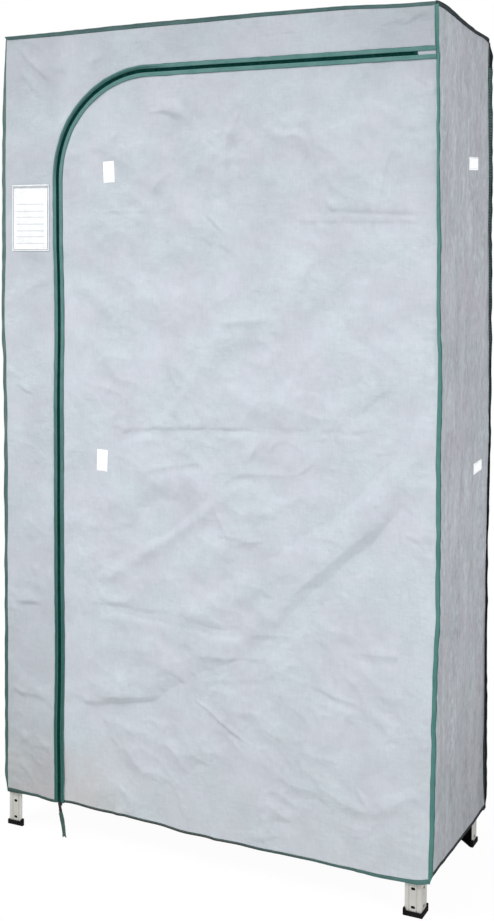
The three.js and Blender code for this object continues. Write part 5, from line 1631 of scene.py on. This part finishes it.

# the pull: a tapered plate with a round end
bag = Bag()
y0, y1 = -0.2097, -0.2083
left, right = [], []
lean_x = 0.0034
rows = [(0.0040, .0020), (0.0032, .0031), (0.0015, .0036), (-0.0030, .0037), (-0.0075, .0036), (-0.0120, .0038), (-0.0155, .0041), (-0.0180, .0040), (-0.0192, .0030)]
for w, hw in rows:
    c = lean_x * float(sstep((0.003 - w) / 0.020))
    left.append((c - hw, w))
    right.append((c + hw, w))
outl = np.array(right[::-1] + left)
hole = [(lean_x * 0.92 + 0.0019 * sx, -0.0152 + 0.0010 * sz) for sx, sz in ((-1, -1), (-1, 1), (1, 1), (1, -1))]
round_plate(bag, outl, y0, y1, 0.0005, frame_=leaned)
# raised rim round the ribbon's slot and a raised bead down the middle
round_plate(bag, rr(lean_x * .92 - 0.0026, lean_x * .92 + 0.0026, -0.0172, -0.0132, 0.0008), y0 - 0.0003, y0 + 0.0004, 0.00025, frame_=leaned)
round_plate(bag, rr(0.0006, 0.0022, -0.0115, -0.0020, 0.0007), y0 - 0.00035, y0 + 0.0004, 0.0003, frame_=leaned)
tab_ob = bag.obj("zip_pull", [M["enamel"]], sharp=60)
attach(tab_ob, "zip_pull")
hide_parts("zip_pull_tab")

# the stop at the chain's end
bag = Bag()
ys_ = float(y_front(0.4685, ZTOP))
round_plate(bag, rr(0.4655, 0.4715, ZTOP - 0.0042, ZTOP + 0.0042, 0.0012), ys_ - 0.0016, ys_ + 0.0008, 0.0005)
stop = bag.obj("zip_stop", [M["coil"]], sharp=60)
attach(stop, "cover")
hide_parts("zip_stop_top")

# pale cloth behind the gap between the two strips, past the chain's end
U, W = np.meshgrid(np.linspace(0.4675, 0.5085, 16), np.linspace(ZTOP - 0.0052, ZTOP + 0.0052, 6))
bag = Bag()
cloth_grid(bag, np.stack([U, y_front(U, W) + 0.0001 + 0.0003 * ((W - ZTOP) / 0.005) ** 2, W], -1), (0, -1, 0), t=0.0006, fab=fab_of(U, W), m=0)
zip_end = bag.obj("zip_end_cloth", [M["front"]])
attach(zip_end, "cover")
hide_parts("zip_tape_fixed")


# ---------------------------------------------------------------- steel frame
def weld(V, Q):
    """One shared point for all points that lie in the same place; faces that collapse are dropped."""
    key = np.round(V * 1e6).astype(np.int64)
    _, first, inv = np.unique(key, axis=0, return_index=True, return_inverse=True)
    inv = inv.ravel()
    Q = inv[Q]
    ok = np.array([len(set(r)) == 4 for r in Q.tolist()])
    return V[first], Q[ok]


def flange():
    """One flange of the perforated angle, along +X from its mitred corner: pressed flutes and rounded slots."""
    mm = 0.001
    L, t = 35.0, 1.5
    A = np.array([0.44, 0.93, 1.5, 4.5, 8.5, 9.0, 10.0, 11.0, 11.5, 12.0, 14.75, 17.5, 20.25, 23.0, 24.5, 25.0, 26.0, 27.0, 27.5, 31.0, 34.5, 34.9])
    Yo = np.array([0.44, 0.11, 0, 0, 0, 0.75, 1.05, 0.75, 0, 0, 0, 0, 0, 0, 0, 0.75, 1.05, 0.75, 0, 0, 0, 0.35])
    Ai, Yi = np.maximum(A, t), np.full(len(A), t)
    Yi[-1] = t - 0.35
    front, walls = [], []
    zs = [3.3]
    for k in range(48):
        c = 18 + 37.5 * k
        zs += [c - 5.5, c - 2.75, c, c + 2.75, c + 5.5]
    zs.append(1795.0)
    zs = np.array(zs)
    i0, i1 = 9, 13
    V, Q = [], []

    def quad(p):
        V.extend(p)
        n = len(V)
        Q.append([n - 4, n - 3, n - 2, n - 1])

    for r in range(len(zs) - 1):
        za, zb = zs[r], zs[r + 1]
        in_block = any(abs((za + zb) / 2 - (18 + 37.5 * k)) < 5.5 for k in range(48)) if r else False
        for i in range(len(A) - 1):
            if in_block and i0 <= i < i1:
                continue
            quad([(A[i], Yo[i], za), (A[i + 1], Yo[i + 1], za), (A[i + 1], Yo[i + 1], zb), (A[i], Yo[i], zb)])
            quad([(Ai[i], Yi[i], za), (Ai[i], Yi[i], zb), (Ai[i + 1], Yi[i + 1], zb), (Ai[i + 1], Yi[i + 1], za)])
        quad([(A[-1], Yo[-1], za), (Ai[-1], Yi[-1], za), (Ai[-1], Yi[-1], zb), (A[-1], Yo[-1], zb)])
    for z, up in ((zs[0], False), (zs[-1], True)):
        for i in range(len(A) - 1):
            p = [(A[i], Yo[i], z), (A[i + 1], Yo[i + 1], z), (Ai[i + 1], Yi[i + 1], z), (Ai[i], Yi[i], z)]
            quad(p if up else p[::-1])
    rect = [(12.0, -2.75), (12.0, -5.5), (14.75, -5.5), (17.5, -5.5), (20.25, -5.5), (23.0, -5.5), (23.0, -2.75), (23.0, 0), (23.0, 2.75), (23.0, 5.5), (20.25, 5.5), (17.5, 5.5), (14.75, 5.5), (12.0, 5.5), (12.0, 2.75), (12.0, 0)]
    hw, hh, rc = 4.5, 3.0, 2.3
    hole = []
    for a, z in rect:
        # the matching place on the rounded slot
        dx, dz = (a - 17.5) / 5.5, z / 5.5
        x, y = dx * hw, dz * hh
        if abs(dx) == 1 and abs(dz) == 1:
            x, y = dx * (hw - rc * 0.293), dz * (hh - rc * 0.293)
        elif abs(dz) == 1 and abs(dx) > 0.4:
            x, y = np.sign(dx) * (hw - rc), dz * hh
        elif abs(dx) == 1 and abs(dz) > 0.4:
            x, y = dx * hw, np.sign(dz) * (hh - rc)
        hole.append((17.5 + x, y))
    n = len(rect)
    for k in range(48):
        c = 18 + 37.5 * k
        for j in range(n):
            (a0, z0), (a1, z1) = rect[j], rect[(j + 1) % n]
            (h0, y0), (h1, y1) = hole[j], hole[(j + 1) % n]
            quad([(a0, 0, c + z0), (a1, 0, c + z1), (h1, 0, c + y1), (h0, 0, c + y0)])
            quad([(a0, t, c + z0), (h0, t, c + y0), (h1, t, c + y1), (a1, t, c + z1)])
            quad([(h0, 0, c + y0), (h1, 0, c + y1), (h1, t, c + y1), (h0, t, c + y0)])
    return np.array(V, float) * mm, np.array(Q)


FV, FQ = flange()
V2, Q2 = FV[:, [1, 0, 2]], FQ[:, ::-1]
PV, PQ = weld(np.concatenate([FV, V2]), np.concatenate([FQ, Q2 + len(FV)]))
PLACES = {"front_left": (-.497, -.197, 0), "front_right": (.497, -.197, 90), "back_right": (.497, .197, 180), "back_left": (-.497, .197, -90)}


def turned(V, where):
    x, y, a = PLACES[where]
    a = math.radians(a)
    return np.stack([x + V[:, 0] * math.cos(a) - V[:, 1] * math.sin(a), y + V[:, 0] * math.sin(a) + V[:, 1] * math.cos(a), V[:, 2]], -1)


def soft_copy(node, name, mats, width=0.0005, segs=2, angle=30):
    """A piece from the CAD node's own form, with flat faces joined up and its edges broken."""
    import bmesh
    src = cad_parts[node]
    bm = bmesh.new()
    bm.from_mesh(src.data)
    bmesh.ops.transform(bm, matrix=src.matrix_world, verts=bm.verts)
    bmesh.ops.remove_doubles(bm, verts=bm.verts, dist=1e-6)
    bmesh.ops.dissolve_limit(bm, angle_limit=math.radians(2), verts=bm.verts, edges=bm.edges)
    es = [e for e in bm.edges if len(e.link_faces) == 2 and e.calc_face_angle(0) > math.radians(angle)]
    bmesh.ops.bevel(bm, geom=es, offset=width, segments=segs, affect='EDGES', profile=0.5, clamp_overlap=True)
    bmesh.ops.triangulate(bm, faces=[f for f in bm.faces if len(f.verts) > 4])
    bmesh.ops.recalc_face_normals(bm, faces=bm.faces)
    me = bpy.data.meshes.new(name)
    bm.to_mesh(me)
    bm.free()
    me.polygons.foreach_set("use_smooth", np.ones(len(me.polygons), bool))
    me.set_sharp_from_angle(angle=math.radians(38))
    for mt in mats:
        me.materials.append(mt)
    ob = bpy.data.objects.new(name, me)
    scene.collection.objects.link(ob)
    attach(ob, "frame")
    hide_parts(node)
    return ob


def l_sleeve(bag, where, z0, z1, m):
    """A thin L-shaped black sleeve inside the foot of the angle, open at the back of the corner: the foot's socket
    insert, which also serves as a dark backing behind the lowest slots that stands in for the shade inside the angle.
    """
    o, i_, e = 0.0018, 0.0036, 0.0325
    z = np.array([z0, z0 + 0.001, (z0 + z1) / 2, z1 - 0.001, z1])
    off = np.array([0.0004, 0, 0, 0, 0.0004])
    rows = []
    for zz_, f in zip(z, off):
        ring_ = [(o + f, o + f), (e - f, o + f), (e - f, i_ - f), (i_ - f, i_ - f), (i_ - f, e - f), (o + f, e - f)]
        rows.append([(a, b, zz_) for a, b in ring_])
    P = np.array(rows)
    V = turned(P.reshape(-1, 3), where)
    q = gq(len(z), 6, 0, flip=False, closed=True)
    caps = np.array([[3, 2, 1, 0], [5, 4, 3, 0]])
    top = np.array([[0, 1, 2, 3], [0, 3, 4, 5]]) + 6 * (len(z) - 1)
    bag.add(V, quads=np.concatenate([q, caps, top]), fab=V, m=m)


for where in PLACES:
    bag = Bag()
    bag.add(turned(PV, where), quads=PQ, fab=turned(PV, where), m=0)
    ob = bag.obj("angle_post_" + where, [M["steel"]], sharp=32)
    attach(ob, "frame")
    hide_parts("post_" + where)
    ft = soft_copy("foot_" + where, "plastic_foot_" + where, [M["black"]], width=0.0007, segs=3)
    bag = Bag()
    l_sleeve(bag, where, 0.0034, 0.0735, 0)
    sl_ = bag.obj("foot_sleeve_" + where, [M["black"]], sharp=40)
    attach(sl_, "frame")
    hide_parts("foot_" + where)


# the chromed tube: a turned profile with its rolled ends
def tube(name, node, r, ri, x0, x1, y0, z0, mat):
    prof = [(x0 + 0.0004, ri), (x0, ri + 0.0004), (x0, r - 0.0005), (x0 + 0.0005, r)]
    prof += [(x, r) for x in np.linspace(x0 + 0.02, x1 - 0.02, 24)]
    prof += [(x1 - 0.0005, r), (x1, r - 0.0005), (x1, ri + 0.0004), (x1 - 0.0004, ri)]
    prof += [(x, ri) for x in np.linspace(x1 - 0.02, x0 + 0.02, 12)]
    prof = np.array(prof)
    seg = 56
    a = np.arange(seg) * 2 * math.pi / seg
    P = np.stack([np.repeat(prof[:, 0], seg), y0 + np.outer(prof[:, 1], np.cos(a)).ravel(), z0 + np.outer(prof[:, 1], np.sin(a)).ravel()], -1)
    n = len(prof)
    i, j = np.meshgrid(np.arange(n), np.arange(seg), indexing='ij')
    i, j = i.ravel(), j.ravel()
    q = np.stack([i * seg + j, ((i + 1) % n) * seg + j, ((i + 1) % n) * seg + (j + 1) % seg, i * seg + (j + 1) % seg], -1)[:, ::-1]
    bag = Bag()
    bag.add(P, quads=q, fab=P, m=0)
    ob = bag.obj(name, [mat], sharp=40)
    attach(ob, "frame")
    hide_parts(node)
    return ob


rb = np.array([list(v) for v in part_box("hanging_rail")])
tube("chrome_rail", "hanging_rail", 0.0125, 0.0113, float(rb[0][0]), float(rb[1][0]), 0.0, float((rb[0][2] + rb[1][2]) / 2), M["chrome"])
for nm in list(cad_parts):
    if nm in ("shelf_bottom", "shelf_top"):
        soft_copy(nm, "tray_" + nm[6:], [M["steel"]], width=0.0006, segs=2)
    elif nm.startswith("rail_bar"):
        soft_copy(nm, "angle_" + nm, [M["steel"]], width=0.0005, segs=2)
    elif nm.startswith("rail_socket"):
        soft_copy(nm, "flanged_" + nm, [M["zinc"]], width=0.0006, segs=3, angle=20)
    elif nm.startswith(("shelf_bolt", "rail_bolt", "rail_screw")):
        soft_copy(nm, "plated_" + nm, [M["zinc"]], width=0.0004, segs=2)

# ---------------------------------------------------------------- hook and loop patches
def patch(name, a0, a1, z0, z1, surf, axis, body, node, seed, turn=0.0, shear=0.0):
    """A sewn square of hook and loop tape: a fuzzy raised pad with a stitched border."""
    n, k = 26, 34
    U, W = np.meshgrid(np.linspace(a0, a1, n), np.linspace(z0, z1, k))
    du = np.minimum(U - a0, a1 - U)
    dw = np.minimum(W - z0, z1 - W)
    uc, wc, ct, st = (a0 + a1) / 2, (z0 + z1) / 2, math.cos(turn), math.sin(turn)

    def askew(u, w):
        return uc + (u - uc) * ct - (w - wc) * st, wc + (u - uc) * (st + shear) + (w - wc) * ct

    U, W = askew(U, W)
    r = np.minimum(du, dw)
    h = 0.0004 + 0.0012 * sstep(r / 0.0022)
    rng = np.random.default_rng(seed)
    h = h + np.where(r > 0.003, rng.uniform(-0.00012, 0.00022, h.shape), 0)
    s = surf(U, W)
    if axis == 'y':
        P = np.stack([U, s - h, W], -1)
        ref = (0, -1, 0)
    else:
        P = np.stack([s + h, U, W], -1)
        ref = (1, 0, 0)
    bag = Bag()
    N = cloth_grid(bag, P, ref, t=0.0011, fab=fab_of(U, W), m=0)
    m_ = 0.0030
    corners = np.array([(a0 + m_, z0 + m_), (a1 - m_, z0 + m_), (a1 - m_, z1 - m_), (a0 + m_, z1 - m_), (a0 + m_, z0 + m_)])
    line = resample(corners, 0.0032)
    line = np.stack(askew(line[:, 0], line[:, 1]), -1)
    s2 = surf(line[:, 0], line[:, 1])
    if axis == 'y':
        pts = np.stack([line[:, 0], s2 - 0.0017, line[:, 1]], -1)
        out = np.array([0, -1.0, 0])
    else:
        pts = np.stack([s2 + 0.0017, line[:, 0], line[:, 1]], -1)
        out = np.array([1.0, 0, 0])
    T = unit(np.gradient(pts, axis=0))
    B = np.broadcast_to(out, pts.shape)
    X = unit(T - (T * B).sum(-1, keepdims=True) * B)
    Yv = np.cross(B, X)
    place(bag, (CAPV, CAPQ, CAPT), pts, X, Yv, B, (0.00115, 0.0003, 0.00024), m=1)
    ob = bag.obj(name, [M["loop"], M["thread_grey"]])
    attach(ob, body)
    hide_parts(node)
    return ob


patch("patch_door_upper", -0.2440, -0.2165, 1.4712, 1.5175, surf_front, 'y', "door", "door_fastener_upper", 1, turn=0.045)
patch("patch_door_lower", -0.2592, -0.2312, 0.8370, 0.8845, surf_front, 'y', "door", "door_fastener_lower", 2, turn=-0.03)
patch("patch_side_upper", 0.0180, 0.0900, 1.4985, 1.5260, side_x, 'x', "cover", "side_fastener_upper", 3, shear=0.06)
patch("patch_side_lower", 0.0810, 0.1460, 0.8480, 0.8715, side_x, 'x', "cover", "side_fastener_lower", 4, shear=0.04)

# ---------------------------------------------------------------- label pocket and card
U, W = np.meshgrid(np.linspace(-0.4860, -0.3870, 46), np.linspace(1.3220, 1.4700, 64))
r = np.minimum(np.minimum(U + 0.4860, -0.3870 - U), W - 1.3220)
lip = 0.0004 * np.exp(-((1.4700 - W) / 0.002) ** 2)
film_wave = Waves(501, 0.055, 10)
h = 0.0006 + 0.0020 * sstep(r / 0.010) + 0.0003 * film_wave(U, W) * sstep(r / 0.012) + lip
P = np.stack([U, y_front(U, W) - h, W], -1)
bag = Bag()
cloth_grid(bag, P, (0, -1, 0), t=0.0003, fab=fab_of(U, W), m=0)
# the welt that holds the film on three sides, and the folded lip at the mouth
for a, b in (((-0.4850, 1.4705), (-0.4850, 1.3230)), ((-0.4850, 1.3230), (-0.3880, 1.3230)), ((-0.3880, 1.3230), (-0.3880, 1.4705)), ((-0.4850, 1.4690), (-0.3880, 1.4690))):
    line = resample(np.array([a, b]), 0.004)
    mouth = a[1] == b[1] and a[1] > 1.4
    pts = on_front(line, 0.0026 if mouth else 0.0009)
    T = unit(np.gradient(pts, axis=0))
    out = np.broadcast_to(np.array([0, -1.0, 0]), pts.shape)
    A_ = unit(np.cross(T, out))
    B_ = unit(np.cross(A_, T))
    sec = tape_section(0.0028, 0.0007, n=4)
    sec[:, 0] -= 0.0014
    sweep(bag, pts, A_, B_ * np.sign((B_ * out).sum(-1).mean()), sec, m=1)
    if not mouth:
        stitches(bag, pts, T, A_, out, 0.0, 0.0004, pitch=0.0034, size=(0.0010, 0.00024, 0.0002), m=2, both=False, seed=60)


def mat_welt():
    """Milky vinyl edge."""
    return mat_simple("milky_welt", (0.66, 0.69, 0.71, 1), (0.80, 0.82, 0.83, 1), 70.0, (0.25, 0.42), spec=0.5, bump_scale=900, bump_d=0.00005, obj=False)


M["welt"] = mat_welt()
pocket = bag.obj("label_pocket_film", [M["film"], M["welt"], M["thread_grey"]])
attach(pocket, "cover")
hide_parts("label_pocket")

card_wave = Waves(511, 0.09, 8)


def card_y(x, z):
    return y_front(x, z) - 0.0015 - 0.00008 * card_wave(x, z)


U, W = np.meshgrid(np.linspace(-0.4815, -0.3915, 40), np.linspace(1.3260, 1.4625, 56))
bag = Bag()
cloth_grid(bag, np.stack([U, card_y(U, W), W], -1), (0, -1, 0), t=0.00035, fab=fab_of(U, W), m=0)
for zr_ in (1.4267, 1.4109, 1.3974, 1.3819, 1.3668, 1.3535, 1.3388):
    for x0, x1 in ((-0.4735, -0.3990),):
        xx = np.linspace(x0, x1, 30)
        UU, WW = np.meshgrid(xx, np.array([zr_ - 0.0008, zr_, zr_ + 0.0008]))
        cloth_grid(bag, np.stack([UU, card_y(UU, WW) - 0.00007, WW], -1), (0, -1, 0), t=0.00016, fab=fab_of(UU, WW), m=1)
card = bag.obj("label_card_ruled", [M["card"], M["rule"]])
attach(card, "card")
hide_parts("label_card")

# ---------------------------------------------------------------- cloth that crosses the hinge seam
for ob in (cloth_door, strip_door, hem_door):
    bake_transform(ob)

# ---------------------------------------------------------------- floor and lights
me = bpy.data.meshes.new("floor")
R = 9.0
me.from_pydata([(-R, -R, 0), (R, -R, 0), (R, R, 0), (-R, R, 0)], [], [(0, 1, 2, 3)])
floor = bpy.data.objects.new("floor", me)
scene.collection.objects.link(floor)
mt = bpy.data.materials.new("floor_paper")
mt.use_nodes = True
nt = mt.node_tree
b = nt.nodes["Principled BSDF"]
b.inputs["Base Color"].default_value = (0.90, 0.90, 0.90, 1)
b.inputs["Roughness"].default_value = 0.9
b.inputs["Specular IOR Level"].default_value = 0.1
em = nd(nt, "ShaderNodeEmission")
em.inputs["Strength"].default_value = 1.0
co = objco(nt)
ln = nd(nt, "ShaderNodeVectorMath", operation='LENGTH')
lk(nt, co, ln.inputs[0])
fade = ramp(nt, maths(nt, 'MULTIPLY', ln.outputs["Value"], 0.25), [(0.12, grey(0.965)), (0.34, grey(1.0))])
ms = nd(nt, "ShaderNodeMixShader")
lpf = nd(nt, "ShaderNodeLightPath")
lk(nt, maths(nt, 'MULTIPLY', fade, maths(nt, 'MULTIPLY_ADD', lpf.outputs["Is Camera Ray"], 0.75, 0.25)), ms.inputs["Fac"])
lk(nt, b.outputs[0], ms.inputs[1])
lk(nt, em.outputs[0], ms.inputs[2])
lk(nt, ms.outputs[0], nt.nodes["Material Output"].inputs["Surface"])
me.materials.append(mt)

world = bpy.data.worlds.new("studio")
scene.world = world
world.use_nodes = True
nt = world.node_tree
nt.nodes.clear()
out = nd(nt, "ShaderNodeOutputWorld")
lp = nd(nt, "ShaderNodeLightPath")
bg0, bg1 = nd(nt, "ShaderNodeBackground"), nd(nt, "ShaderNodeBackground")
bg0.inputs["Color"].default_value = (0.97, 0.985, 1.0, 1)
bg0.inputs["Strength"].default_value = 0.45
bg1.inputs["Color"].default_value = (1, 1, 1, 1)
bg1.inputs["Strength"].default_value = 1.0
ms = nd(nt, "ShaderNodeMixShader")
lk(nt, lp.outputs["Is Camera Ray"], ms.inputs["Fac"])
lk(nt, bg0.outputs[0], ms.inputs[1])
lk(nt, bg1.outputs[0], ms.inputs[2])
lk(nt, ms.outputs[0], out.inputs["Surface"])


def area(name, direction, dist, size, power, color=(1, 1, 1), target=(0.0, -0.1, 0.95)):
    d = Vector(direction).normalized()
    data = bpy.data.lights.new(name, 'AREA')
    data.shape = 'SQUARE'
    data.size = size
    data.energy = power
    data.color = color
    ob = bpy.data.objects.new(name, data)
    scene.collection.objects.link(ob)
    ob.location = Vector(target) + d * dist
    ob.rotation_mode = 'QUATERNION'
    ob.rotation_quaternion = (-d).to_track_quat('-Z', 'Y')
    return ob


area("key", (-0.384, -0.548, 0.743), 8.0, 3.5, 585.0)
area("fill", (0.93, -0.30, 0.22), 4.2, 1.6, 74.0)
scene.view_settings.view_transform = 'Standard'

# ---------------------------------------------------------------- end
bpy.context.view_layer.update()
